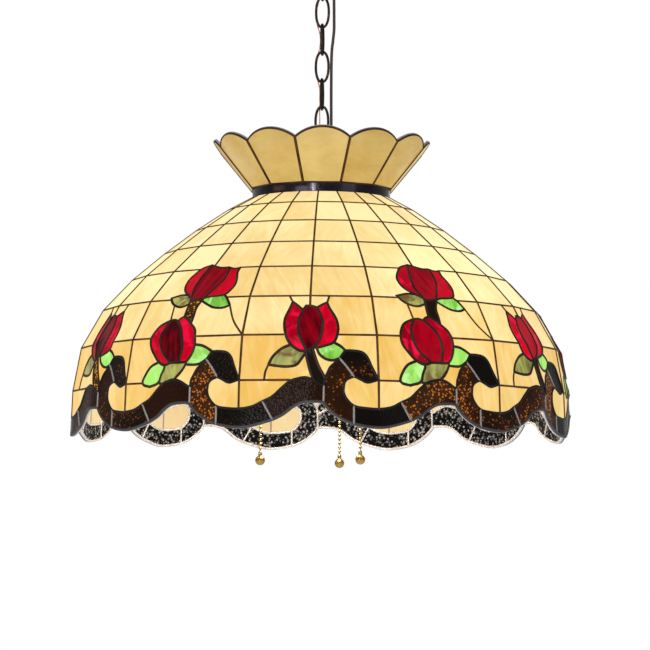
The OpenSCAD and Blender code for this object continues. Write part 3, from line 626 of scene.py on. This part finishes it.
ROSE = [
    [(-4.2, 200.5), (-4.8, 208), (-5.7, 219), (-5.7, 228), (-5.1, 239), (-4, 247), (-1.95, 253),
     (-0.45, 253)],
    [(-4.2, 200.5), (-3, 204.5), (-1.65, 209.7)],
    [(-1.65, 209.7), (-0.9, 205)],
    [(-0.9, 205), (0.4, 205.2), (1.65, 207)],
    [(-1.65, 209.7), (-2.4, 219), (-2.5, 231), (-1.65, 242.6), (-0.45, 253)],
    [(1.65, 207), (2.7, 217.6), (3, 228), (2.7, 237), (1.95, 245), (0.75, 250)],
    [(1.65, 207), (2.9, 203.6), (4.05, 201.2)],
    [(4.05, 201.2), (4.65, 208), (6, 219), (6.45, 228), (6.3, 236), (5.4, 244.6), (3.45, 248), (1.65, 250),
     (0.75, 250)],
    [(-0.45, 253), (0.75, 250)],
    [(-4, 247), (-6.1, 251), (-7.9, 258.4), (-8.8, 266.3)],
    [(-8.8, 266.3), (-7, 267.6), (-4.9, 268.3), (-2.8, 267), (-1.6, 261), (-0.45, 253)],
    [(5.4, 244.6), (7, 248.6), (7.9, 252.5)],
    [(6.65, 260), (5.2, 262.2), (3.7, 261), (2.3, 256.5), (1.65, 250)],
    [(-0.45, 253), (-0.5, 258), (0, 267.6), (0.4, 274), (1.1, 281.4)],
    [(0.75, 250), (1.2, 257), (2.1, 267.6), (3.5, 279)],
]
ROSE_TIES = [
    [(-4.2, 200.5), (-5.1, 193.7)],
    [(4.05, 201.2), (4.6, 193.7)],
    [(-8.8, 266.3), (-9.4, 273), (-9.6, 281)],
]
LOW_ROSE = [
    [(24.6, 218), (22.2, 222.8), (21, 230.7), (20.6, 238.6), (21.1, 246.5), (22.5, 254.4), (24, 261),
     (25.8, 264.3), (27.5, 262.3)],
    [(24.6, 218), (23.5, 229.4), (23.5, 240), (24.6, 250.5), (26.4, 258.4), (27.5, 262.3)],
    [(24.6, 218), (25.8, 217.4), (27, 219)],
    [(27, 219), (27.6, 216.2), (28.6, 214.3)],
    [(28.6, 214.3), (29.9, 217.6), (31.1, 222.8), (32.6, 229.4), (33.2, 237.3), (33.4, 245.2), (32.9, 254.4),
     (31.7, 261.6), (29.9, 262.3)],
    [(27, 219), (28.7, 226.8), (29.9, 237.3), (30.4, 247.8), (29.9, 262.3)],
    [(27.5, 262.3), (29.9, 262.3)],
    [(24, 261), (21.9, 265), (20.7, 271.5), (19.9, 279.4), (20.4, 283), (22.2, 284.7)],
    [(22.2, 284.7), (24.6, 281.4), (25.2, 274), (25.9, 267), (25.8, 264.3)],
    [(31.7, 264.3), (31, 270), (29.9, 276), (29.3, 278.8)],
    [(24.6, 281.4), (25.8, 282.7)],
    [(33.4, 245.2), (35.3, 246.4), (36.8, 249.5), (37.9, 252.5)],
    [(36.65, 260), (35, 264.3), (33.4, 265), (31.7, 264.3), (31.7, 261.6)],
    [(28.7, 199.8), (28.6, 207), (28.6, 214.3)],
    [(32, 196.5), (31.2, 205), (31.2, 215), (31.1, 222.8)],
]
BUD = [
    [(28.7, 145), (26.1, 149), (24.9, 154.4), (23.8, 162.3), (23.5, 169), (24, 177), (25.2, 183.4),
     (27, 188.6), (28.7, 194)],
    [(28.7, 145), (27.8, 158.4), (27.5, 169), (27.5, 179.4), (28.7, 194)],
    [(28.7, 145), (31, 148.5), (33, 150.5), (35, 150)],
    [(35, 150), (37, 152.5), (38.8, 151.5)],
    [(38.8, 151.5), (38.6, 158.4), (39.2, 166.3), (39.5, 175.5), (38.9, 183.4), (37.7, 190), (34.1, 192),
     (32.3, 194)],
    [(35, 150), (35.6, 155), (35.3, 169), (34.1, 179.4), (32.3, 194)],
    [(28.7, 194), (29.9, 195.2), (32.3, 194)],
    [(27, 188.6), (24.6, 187.8), (21.6, 191.3)],
    [(21.6, 191.3), (22.5, 196), (24, 200.5), (26.4, 203), (28.7, 199.8)],
    [(28.7, 199.8), (28.8, 197), (28.7, 194)],
    [(37.7, 190), (38.9, 195.2), (40.1, 203)],
    [(40.1, 203), (38.3, 205.7), (35.9, 205), (33.8, 201), (32, 196.5)],
    [(32, 196.5), (32.3, 194)],
]
BUD_TIES = [
    [(23.9, 200.3), (24.6, 218)],
    [(40.1, 203), (41.9, 220), (44.1, 232.7), (45, 237)],
]
SCROLL = [
    [(7.9, 252.5), (6.65, 260), (5.3, 266), (4.6, 269), (3.9, 275.5), (3.5, 279), (3.25, 286.5)],
    [(7.9, 252.5), (9.7, 252.5), (11.5, 253.8), (12.7, 258.4), (13.6, 267.6), (14.5, 276), (14.95, 280.5)],
    [(14.95, 280.5), (12.7, 283), (11.5, 281), (10.3, 278.5), (9.7, 277.5)],
    [(9.7, 277.5), (8.4, 279.8), (7.7, 283), (7.5, 288), (7.5, 292.6), (8.2, 299), (9.7, 305), (12.1, 307),
     (15.1, 307.8), (17.9, 305.7), (20.1, 301), (22.2, 296.5), (24, 289.3), (25.8, 282.7), (27.5, 280),
     (29.3, 278.8), (31.1, 281.4), (32.6, 285.3), (33.25, 286.5)],
]
SCROLL_SEAMS = [
    [(3.25, 286.5), (3.2, 301.5)],
    [(6.65, 260), (8.2, 268), (9.7, 277.5)],
    [(9.7, 305), (9.7, 321.6)],
    [(20.1, 301), (22.3, 318)],
]
RIM = [
    [(3.2, 301.5), (3.9, 306), (5.5, 312.4), (7.6, 318), (9.7, 321.6), (12.7, 324.2), (15.7, 325),
     (18.4, 323), (22.3, 318), (23.1, 316.3), (24.6, 313), (26.7, 306), (28.5, 302.2), (30.5, 301),
     (32, 301), (33.2, 301.5)],
]


def level(k, u0, u1):
    """Seam along ring k between two angles."""
    stops = [u for u in range(-45, 76, 3) if u0 + 0.5 < u < u1 - 0.5]
    return [(u, ARCS[k]) for u in [u0, *stops, u1]]


def plumb(u, s1):
    """Seam down the slope from the neck."""
    stops = [s for k in range(8) for s in (ARCS[k], (ARCS[k] + ARCS[k + 1]) / 2) if s < s1 - 1]
    return [(u, s) for s in [*stops, s1]]


PLUMB_SEAMS = [plumb(-15, 307.8), plumb(0, 205), plumb(15, 307.8), plumb(30, 147)]
LEVEL_SEAMS = [level(k, -15, 45) for k in (1, 2, 3)] + [
    level(4, -21.2, 25.6),
    level(5, -21.5, 22.2),
    level(6, -15, -5.2), level(6, 6.3, 20.7), level(6, 33.2, 45),
    level(7, -15, -4.1), level(7, 14.9, 20),
]
PLUMB_HALF_W = 1.35
LINE_GROUPS = [
    # lines, degrees from one copy to the next, half width in mm, tin colour and painted sheen outside,
    # brownness, smooth
    (ROSE, 60, 1.65, 0.0, 0.3, True),
    (LOW_ROSE, 60, 1.65, 0.0, 0.3, True),
    (BUD, 60, 1.6, 0.0, 0.3, True),
    (ROSE_TIES, 60, 1.3, 0.0, 0.8, True),
    (BUD_TIES, 60, 1.2, 0.0, 0.8, True),
    (SCROLL, 30, 1.5, 0.0, 0.0, True),
    (SCROLL_SEAMS, 30, 1.2, 0.36, 0.0, True),
    (RIM, 30, 1.5, 0.06, 0.0, True),
    (PLUMB_SEAMS, 60, PLUMB_HALF_W, 0.0, 1.0, False),
    (LEVEL_SEAMS, 60, 1.2, 0.0, 1.0, False),
]
# the last ring that the seam down from the neck crosses, by its angle
CROSSED_RINGS = {-15: 6, 0: 5, 15: 6, 30: 3}
FLAT_X = 4.0
CURVE_STEP = 2.6
STRAIGHT_STEP = 8


def curve(points, smooth):
    """The line's points on the flat pattern, where x is FLAT_X per degree."""
    flat = [Vector((u * FLAT_X, s)) for u, s in points]
    if smooth:
        return catmull(flat, CURVE_STEP)
    made = []
    for a, b in zip(flat, flat[1:]):
        count = max(1, round((b - a).length / STRAIGHT_STEP))
        made += [a.lerp(b, i / count) for i in range(count)]
    return made + [flat[-1]]


# ---- pieces of glass: the regions that the lines enclose

SEEDS = {
    # glass: (a place inside each piece, degrees from one copy to the next)
    "crimson": ([(-4, 225), (4.6, 225), (22.3, 240), (31.8, 240)], 60),
    "garnet": ([(0.3, 228), (26.8, 240)], 60),
    "bud_crimson": ([(25.5, 170), (37.3, 170)], 60),
    "bud_garnet": ([(31, 170)], 60),
    "leaf": ([(4.4, 256), (22.8, 273), (35, 256), (37, 199)], 60),
    "olive": ([(-5, 259), (28, 270), (25, 195)], 60),
    "stem": ([(0.6, 262), (29.9, 208)], 60),
    "scroll_dark": ([(11, 262), (15, 315)], 30),
    "scroll_amber": ([(5.5, 285), (27, 292)], 30),
}
GLASS = {
    # piece, material, slot, CAD nodes that it stands for
    "cream": ("cream_panes", CREAM, "cream_glass",
              ("cream_upper", "cream_middle", "cream_lower", "curl_glass")),
    "crimson": ("rose_petal_glass", CRIMSON, "red_glass", ("rose_petals",)),
    "garnet": ("rose_heart_glass", GARNET, "dark_red_glass", ("rose_hearts",)),
    "bud_crimson": ("bud_petal_glass", CRIMSON, "red_glass", ("bud_petals",)),
    "bud_garnet": ("bud_heart_glass", GARNET, "dark_red_glass", ("bud_hearts",)),
    "leaf": ("light_leaf_glass", LEAF, "light_green_glass", ("leaves_light",)),
    "olive": ("olive_leaf_glass", OLIVE, "olive_glass", ("leaves_olive",)),
    "stem": ("stem_glass", STEM, "stem_glass", ("stems",)),
    "scroll_dark": ("dark_scroll_glass", SCROLL_DARK, "scroll_dark_glass", ("scroll_dark",)),
    "scroll_amber": ("amber_scroll_glass", SCROLL_AMBER, "scroll_amber_glass", ("scroll_amber",)),
}
# millimetres of the flat pattern, and degrees round for FROM, TO and FRAME_HALF
GRID = 6.0
GRID_FROM, GRID_TO = -36, 66
CLEAR = 2.4
OVERSHOOT = 1.2
FRAME_HALF = 110
PAST_RIM = 9
RIM_MARGIN = 4
SECTOR_FROM, SECTOR_TO = -15, 45
LEAST_AREA = 6
SMOOTHING_ROUNDS = 30


def flat_pattern():
    """All lines over a sixth of the dome and its neighbours, as points and edges of the flat pattern.
    Each runs a little past its ends, so that it surely meets the line it stops at."""
    points = []
    edges = []
    for lines, period, _, _, _, smooth in LINE_GROUPS:
        for shift in range(-SECTOR_TURN, SECTOR_TURN + 1, period):
            for line in lines:
                run = curve([(u + shift, s) for u, s in line], smooth)
                first, last = (run[0] - run[1]).normalized(), (run[-1] - run[-2]).normalized()
                run = [run[0] + first * OVERSHOOT, *run, run[-1] + last * OVERSHOOT]
                edges += [(len(points) + i, len(points) + i + 1) for i in range(len(run) - 1)]
                points += run
    for s in (ARCS[0], ARCS[8] + PAST_RIM):
        edges.append((len(points), len(points) + 1))
        points += [Vector((-FRAME_HALF * FLAT_X, s)), Vector((FRAME_HALF * FLAT_X, s))]
    return points, edges


def add_grid(points):
    """Fills the pattern with evenly spaced points, clear of its lines, so that the glass can curve."""
    tree = KDTree(len(points))
    for i, p in enumerate(points):
        tree.insert((p.x, p.y, 0), i)
    tree.balance()
    rows = int(ARCS[8] / GRID)
    for r in range(1, rows + 1):
        for c in range(int(GRID_FROM * FLAT_X / GRID), int(GRID_TO * FLAT_X / GRID)):
            p = Vector(((c + r % 2 * 0.5) * GRID, r * GRID))
            if tree.find((p.x, p.y, 0))[2] > CLEAR:
                points.append(p)


def find_regions():
    """Triangulates the pattern and returns (its points, [triangles of each enclosed region])."""
    points, edges = flat_pattern()
    add_grid(points)
    verts, out_edges, tris, _, edge_source, _ = delaunay_2d_cdt(points, edges, [], 0, 1e-4)
    walls = {tuple(sorted(e)) for e, source in zip(out_edges, edge_source) if source}
    owners = {}
    for t, tri in enumerate(tris):
        for a, b in zip(tri, tri[1:] + tri[:1]):
            owners.setdefault(tuple(sorted((a, b))), []).append(t)
    region_of = {}
    regions = []
    for first in range(len(tris)):
        if first in region_of:
            continue
        members = [first]
        region_of[first] = len(regions)
        for t in members:
            tri = tris[t]
            for a, b in zip(tri, tri[1:] + tri[:1]):
                key = tuple(sorted((a, b)))
                if key in walls:
                    continue
                for other in owners[key]:
                    if other not in region_of:
                        region_of[other] = len(regions)
                        members.append(other)
        regions.append([tris[t] for t in members])
    return verts, regions


def middle(verts, tris):
    """Centre of area of a region, as (u, s), and its area on the flat pattern."""
    total = 0.0
    centre = Vector((0, 0))
    for a, b, c in ([verts[i] for i in t] for t in tris):
        area = abs((b - a).cross(c - a)) / 2
        centre += (a + b + c) / 3 * area
        total += area
    centre /= max(total, 1e-9)
    return centre.x / FLAT_X, centre.y, total


def kind_of(verts, tris):
    for kind, (seeds, period) in SEEDS.items():
        for u, s in seeds:
            for shift in range(-SECTOR_TURN, SECTOR_TURN + 1, period):
                p = Vector(((u + shift) * FLAT_X, s))
                for a, b, c in ([verts[i] for i in t] for t in tris):
                    if intersect_point_tri_2d(p, a, b, c):
                        return kind
    return "cream"


def make_plate(verts, tris):
    """One piece of glass: (points, normals, outer faces, outline edges).
    Its outline lies on the dome, and its middle is drawn smooth between the outline's points."""
    used = sorted({i for t in tris for i in t})
    index = {v: i for i, v in enumerate(used)}
    faces = [tuple(index[i] for i in t) for t in tris]
    directed = {(f[i], f[(i + 1) % 3]) for f in faces for i in range(3)}
    outline = [e for e in directed if (e[1], e[0]) not in directed]
    fixed = {i for e in outline for i in e}
    near = [set() for _ in used]
    for a, b in directed:
        near[a].add(b)
        near[b].add(a)
    places = [(verts[v].x / FLAT_X, min(verts[v].y, ARCS[8])) for v in used]
    points = [dome_point(u, s) for u, s in places]
    normals = [dome_normal(u, s) for u, s in places]
    for _ in range(SMOOTHING_ROUNDS):
        for i in range(len(points)):
            if i not in fixed:
                points[i] = sum((points[n] for n in near[i]), Vector()) / len(near[i])
                normals[i] = sum((normals[n] for n in near[i]), Vector()).normalized()
    return points, normals, faces, outline


def random_offset():
    """Where a piece of glass is cut from its sheet."""
    return Vector((dice.uniform(0, 9), dice.uniform(0, 9), dice.uniform(0, 9)))


def add_plate(builder, plate, turn, depth):
    """Adds the piece, turned about the dome's axis, with grain and tint of its own."""
    points, normals, faces, outline = plate
    count = len(points)
    spin = Matrix.Rotation(math.radians(turn), 3, "Z")
    outer = [spin @ (p + n * GLASS_T / 2) for p, n in zip(points, normals)]
    inner = [spin @ (p - n * GLASS_T / 2) for p, n in zip(points, normals)]
    skins = [(a, c, b) for a, b, c in faces] + [(a + count, b + count, c + count) for a, b, c in faces]
    walls = [(a, b, b + count, a + count) for a, b in outline]
    centre = sum(points, Vector()) / count
    across = Vector((0, 0, 1)).cross(normals[0]).normalized()
    down = normals[0].cross(across)
    turned = Matrix.Rotation(dice.uniform(-0.5, 0.5), 2)
    offset = random_offset()
    grain = []
    for p in points:
        flat = turned @ Vector(((p - centre).dot(down), (p - centre).dot(across)))
        grain.append(Vector((flat.x, flat.y, 0)) + offset)
    glow = [light_at(spin @ p, spin @ n) for p, n in zip(points, normals)]
    builder.add(
        outer + inner, skins + walls,
        grain=grain + grain, tint=dice.random(), glow=glow + glow, depth=depth,
        inner=[0.0] * count + [1.0] * count,
    )


def make_dome_glass():
    verts, regions = find_regions()
    builders = {kind: Builder() for kind in GLASS}
    for tris in regions:
        u, s, area = middle(verts, tris)
        in_sector = SECTOR_FROM <= u < SECTOR_TO
        past_rim = s > ARCS[8] - RIM_MARGIN or max(verts[i].y for t in tris for i in t) > ARCS[8]
        if not in_sector or past_rim or area < LEAST_AREA:
            continue
        kind = kind_of(verts, tris)
        plate = make_plate(verts, tris)
        depth = depth_at(s) if kind == "cream" else PLAIN_DEPTH
        for i in range(SECTORS):
            add_plate(builders[kind], plate, SECTOR_TURN * i, depth)
    for kind, (name, material, slot, nodes) in GLASS.items():
        piece = builders[kind].build(name, material)
        settle(piece, "lamp", slot, *nodes)


# ---- solder


BEAD_SIDES = 12
BEAD_SQUARE_X = 0.7
BEAD_SQUARE_Y = 0.8


def bead_profile(half_width, half_height):
    """Section of a solder line: a rounded bar that stands out of both faces of the glass."""
    made = []
    for q in range(BEAD_SIDES):
        turn = math.tau * (q + 0.5) / BEAD_SIDES
        x = half_width * squared_off(math.cos(turn), BEAD_SQUARE_X)
        y = half_height * squared_off(math.sin(turn), BEAD_SQUARE_Y)
        made.append((x, y))
    return made


def inner_shine(warm):
    """Tin colour and painted sheen of the bulbs on solder's inner side, duller between cream panes, where
    the outer side is brown.
    """
    return 0.85 - 0.5 * warm


def add_turned(builder, verts, faces, shine, warm, turns):
    """Adds solder and its copies in the next sectors round the dome."""
    for i in range(turns):
        spin = Matrix.Rotation(math.radians(SECTOR_TURN * i), 3, "Z")
        builder.add([spin @ v for v in verts], faces, bright=shine, warm=warm)


def add_bead(builder, path, ups, widths, bright, warm, rise=BEAD_RISE, turns=1):
    """Sweeps a solder line along path, standing up along ups."""
    verts = []
    shine = []
    for i, p in enumerate(path):
        along = (path[min(i + 1, len(path) - 1)] - path[max(i - 1, 0)]).normalized()
        up = ups[i]
        side = along.cross(up).normalized()
        for x, y in bead_profile(widths[i], GLASS_T / 2 + rise):
            verts.append(p + side * x + up * y)
            shine.append(bright if y > 0 else inner_shine(warm))
    add_turned(builder, verts, tube_faces(len(path), BEAD_SIDES), shine, warm, turns)


def add_blob(builder, u, s, radius, bright, warm):
    """Small flattened mound where solder lines meet, outside and inside."""
    levels = 8
    sides = 10
    height = GLASS_T / 2 + BEAD_RISE * 1.15
    base, up = dome_point(u, s), dome_normal(u, s)
    side = up.cross(Vector((0, 0, 1))).normalized()
    down = up.cross(side)
    verts = []
    shine = []
    for r in range(levels + 1):
        lat = math.pi * (r / levels - 0.5) * 0.98
        for q in range(sides):
            turn = math.tau * q / sides
            flat = side * math.cos(turn) + down * math.sin(turn)
            verts.append(base + flat * radius * math.cos(lat) + up * height * math.sin(lat))
            shine.append(bright if lat > 0 else inner_shine(warm))
    add_turned(builder, verts, tube_faces(levels + 1, sides), shine, warm, SECTORS)


NECK_TAPER = 0.72
TAPER_END = 240


def taper(s):
    """Solder lines are narrower towards the neck."""
    return NECK_TAPER + 0.28 * min(1.0, s / TAPER_END)


def smoothed(values):
    """Each value averaged with its neighbours."""
    groups = [values[max(i - 1, 0):i + 2] for i in range(len(values))]
    return [sum(group) / len(group) for group in groups]


def make_dome_solder():
    builder = Builder()
    ends = {}
    for lines, period, half_width, bright, warm, smooth in LINE_GROUPS:
        for shift in range(0, SECTOR_TURN, period):
            for line in lines:
                flat = curve([(u + shift, s) for u, s in line], smooth)
                places = [(p.x / FLAT_X, min(p.y, ARCS[8])) for p in flat]
                path = [dome_point(u, s) for u, s in places]
                ups = [dome_normal(u, s) for u, s in places]
                wobble = smoothed([dice.uniform(0.9, 1.1) for _ in places])
                widths = [half_width * taper(s) * w * MM for (_, s), w in zip(places, wobble)]
                add_bead(builder, path, ups, widths, bright, warm, turns=SECTORS)
                for u, s in (places[0], places[-1]):
                    ends[(round(u % SECTOR_TURN, 1), round(s))] = (u, s, half_width, bright, warm)
    for k in range(1, 7):
        for u, last_ring in CROSSED_RINGS.items():
            if k <= last_ring:
                ends[(round(u % SECTOR_TURN, 1), round(ARCS[k]))] = (u, ARCS[k], PLUMB_HALF_W, 0.0, 1.0)
    for u, s, half_width, bright, warm in ends.values():
        add_blob(builder, u, s, half_width * taper(s) * 1.2 * MM, bright, warm)
    piece = builder.build("dome_solder", SOLDER, 60)
    settle(piece, "lamp", "solder", "leading_ribs", "leading_rings", "leading_flowers", "leading_scroll")


# ---- crown

PETALS = 12
PETAL_SIDE = 52.5 * MM
PETAL_LEAN = 38.7
PETAL_FOOT = NECK_R * math.sin(math.radians(15))
PETAL_TOP = PETAL_FOOT + PETAL_SIDE * 0.168
PETAL_RISE = 11.6 * MM
PETAL_ROUNDING = 0.5 * MM
CROWN_TURN = 3
# (half width, rise above the glass) of the crown's three kinds of solder line
PETAL_CAME = (0.9 * MM, 0.55 * MM)
PETAL_SEAM = (1.5 * MM, 0.75 * MM)
PETAL_FOOT_LINE = (1.2 * MM, 0.5 * MM)


def petal_outline(inset):
    """Outline of a petal in its own plane, x across and y up, from foot to rounded tip."""
    radius = (PETAL_TOP ** 2 + PETAL_RISE ** 2) / (2 * PETAL_RISE)
    sweep = math.asin(PETAL_TOP / radius)
    arc = [sweep * (1 - i / 12) for i in range(25)]
    reach = radius - inset
    centre_y = PETAL_SIDE + PETAL_RISE - radius
    tip = [(reach * math.sin(a), centre_y + reach * math.cos(a)) for a in arc]
    tip = [(x * (1 - inset / PETAL_TOP), y) for x, y in tip]
    return [(-PETAL_FOOT + inset, inset), (PETAL_FOOT - inset, inset)], tip


def petal_place(i):
    """Matrix that puts a petal's own plane in its place on the neck band."""
    return (
        Matrix.Rotation(math.radians(CROWN_TURN + 30 * i), 4, "Z")
        @ Matrix.Translation((0, -NECK_R * math.cos(math.radians(15)), PETAL_Z))
        @ Matrix.Rotation(math.radians(90 + PETAL_LEAN), 4, "X")
    )


def add_crown_line(builder, path, up, size, warm):
    half_width, rise = size
    add_bead(builder, path, [up] * len(path), [half_width] * len(path), 0.0, warm, rise)


def make_crown():
    """Twelve petals of rounded glass, each with solder round its edge, at its foot and to its neighbour."""
    glass_builder = Builder()
    solder_builder = Builder()
    foot, tip = petal_outline(0.5 * MM)
    _, edge = petal_outline(0.3 * MM)
    outline = foot + tip
    rim = PETAL_ROUNDING
    layers = [(0.0, rim), (rim, 0.0), (GLASS_T - rim, 0.0), (GLASS_T, rim)]
    faces = [f[::-1] for f in tube_faces(len(layers), len(outline))]
    middle_y = PETAL_SIDE / 2
    for i in range(PETALS):
        place = petal_place(i)
        verts = [
            place @ Vector((x * (1 - pull / PETAL_TOP), y + (middle_y - y) * pull / middle_y, z))
            for z, pull in layers for x, y in outline
        ]
        offset = random_offset()
        grain = [Vector((x, y, z)) + offset for z, _ in layers for x, y in outline]
        height = [y / (PETAL_SIDE + PETAL_RISE) for _ in layers for _, y in outline]
        glass_builder.add(
            verts, faces, grain=grain, tint=dice.random(), depth=PLAIN_DEPTH,
            glow=[1.12 - 0.22 * h for h in height],
            inner=[1.0 if z < rim else 0.0 for z, _ in layers for _ in outline],
        )
        up = place.to_3x3() @ Vector((0, 0, 1))
        came = [place @ Vector((x, y, GLASS_T / 2)) for x, y in edge]
        add_crown_line(solder_builder, came, up, PETAL_CAME, 0.5)
        seam = []
        for t in range(11):
            x = PETAL_FOOT + (PETAL_TOP - PETAL_FOOT) * t / 10
            seam.append(place @ Vector((x, PETAL_SIDE * t / 10, GLASS_T / 2)))
        seam_up = Matrix.Rotation(math.radians(15), 3, "Z") @ up
        add_crown_line(solder_builder, seam, seam_up, PETAL_SEAM, 1.0)
        foot_line = [place @ Vector((PETAL_FOOT * (2 * t / 6 - 1), 0.0, GLASS_T / 2)) for t in range(7)]
        add_crown_line(solder_builder, foot_line, up, PETAL_FOOT_LINE, 0.5)
    settle(glass_builder.build("crown_petals", CROWN, 50), "lamp", "crown_glass", "crown_glass")
    settle(solder_builder.build("crown_solder", SOLDER, 60), "lamp", "solder", "crown_leading")


# ---- neck band with rolled edges


def lathe(profile, segments=128):
    """Ring of revolution from a closed profile of (radius, height) points."""
    count = len(profile)
    verts = []
    for i in range(segments):
        turn = math.tau * i / segments
        verts += [(r * math.cos(turn), r * math.sin(turn), z) for r, z in profile]
    faces = [
        (i * count + q, (i + 1) % segments * count + q,
         (i + 1) % segments * count + (q + 1) % count, i * count + (q + 1) % count)
        for i in range(segments)
        for q in range(count)
    ]
    return verts, faces


def make_band():
    """Band with a rounded outer edge at top and bottom, and a waist a little slimmer than the edges."""
    wall = 2.0 * MM
    roll = 1.0 * MM
    waist_in = 0.35 * MM
    waist_from = 2.2 * MM
    low, high = BAND_LOW.z, BAND_HIGH.z
    outer = []
    for z, start in ((low + roll, -90), (high - roll, 0)):
        for a in range(start, start + 91, 15):
            turn = math.radians(a)
            outer.append((NECK_R - roll + roll * math.cos(turn), z + roll * math.sin(turn)))
    outer[7:7] = [(NECK_R - waist_in, low + waist_from), (NECK_R - waist_in, high - waist_from)]
    profile = outer + [(NECK_R - wall, high), (NECK_R - wall, low)]
    builder = Builder()
    builder.add(*lathe(profile))
    settle(builder.build("rolled_neck_band", BAND_BRONZE, 50), "lamp", "band_bronze", "neck_band")


# ---- finishes of the CAD nodes that stay

FINISHES = {
    STEEL: ["crossbar", "canopy_nut", "spider"],
    BRONZE: ["canopy", "canopy_loop", "lower_loop"],
    BRASS_PLATE: [
        "top_nipple", "stem", "stem_nuts", "cluster_body", "cluster_cover", "finial", "socket_arms",
    ],
    SOCKET_BRASS: ["socket_caps", "socket_shells", "switch_bells", "screw_shells", "centre_contacts"],
    BUSHING: ["cord_bushing"],
    GREEN_STEEL: ["ground_screw"],
    CARD: ["socket_liners"],
    PHENOLIC: ["switch_cores"],
    BASE_METAL: ["bulb_bases"],
    FROSTED: ["bulb_glass"],
    PULL_BRASS: ["switch_bead_%d" % i for i in (1, 2, 3)] + ["pull_chain_%d" % i for i in (1, 2, 3)],
}


def finish_nodes():
    for material, names in FINISHES.items():
        for name in names:
            mesh = NODES[name].data
            mesh.materials.clear()
            mesh.materials.append(material)


make_camera()
make_strand("cord_length", CORD_ROUTE, CORD_R, CORD_BROWN, "lamp_cord")
make_strand("wire_length", WIRE_ROUTE, WIRE_R, COPPER, "ground_wire")
for number in range(1, 8):
    make_link(number)
make_dome_glass()
make_dome_solder()
make_crown()
make_band()
finish_nodes()
make_studio()
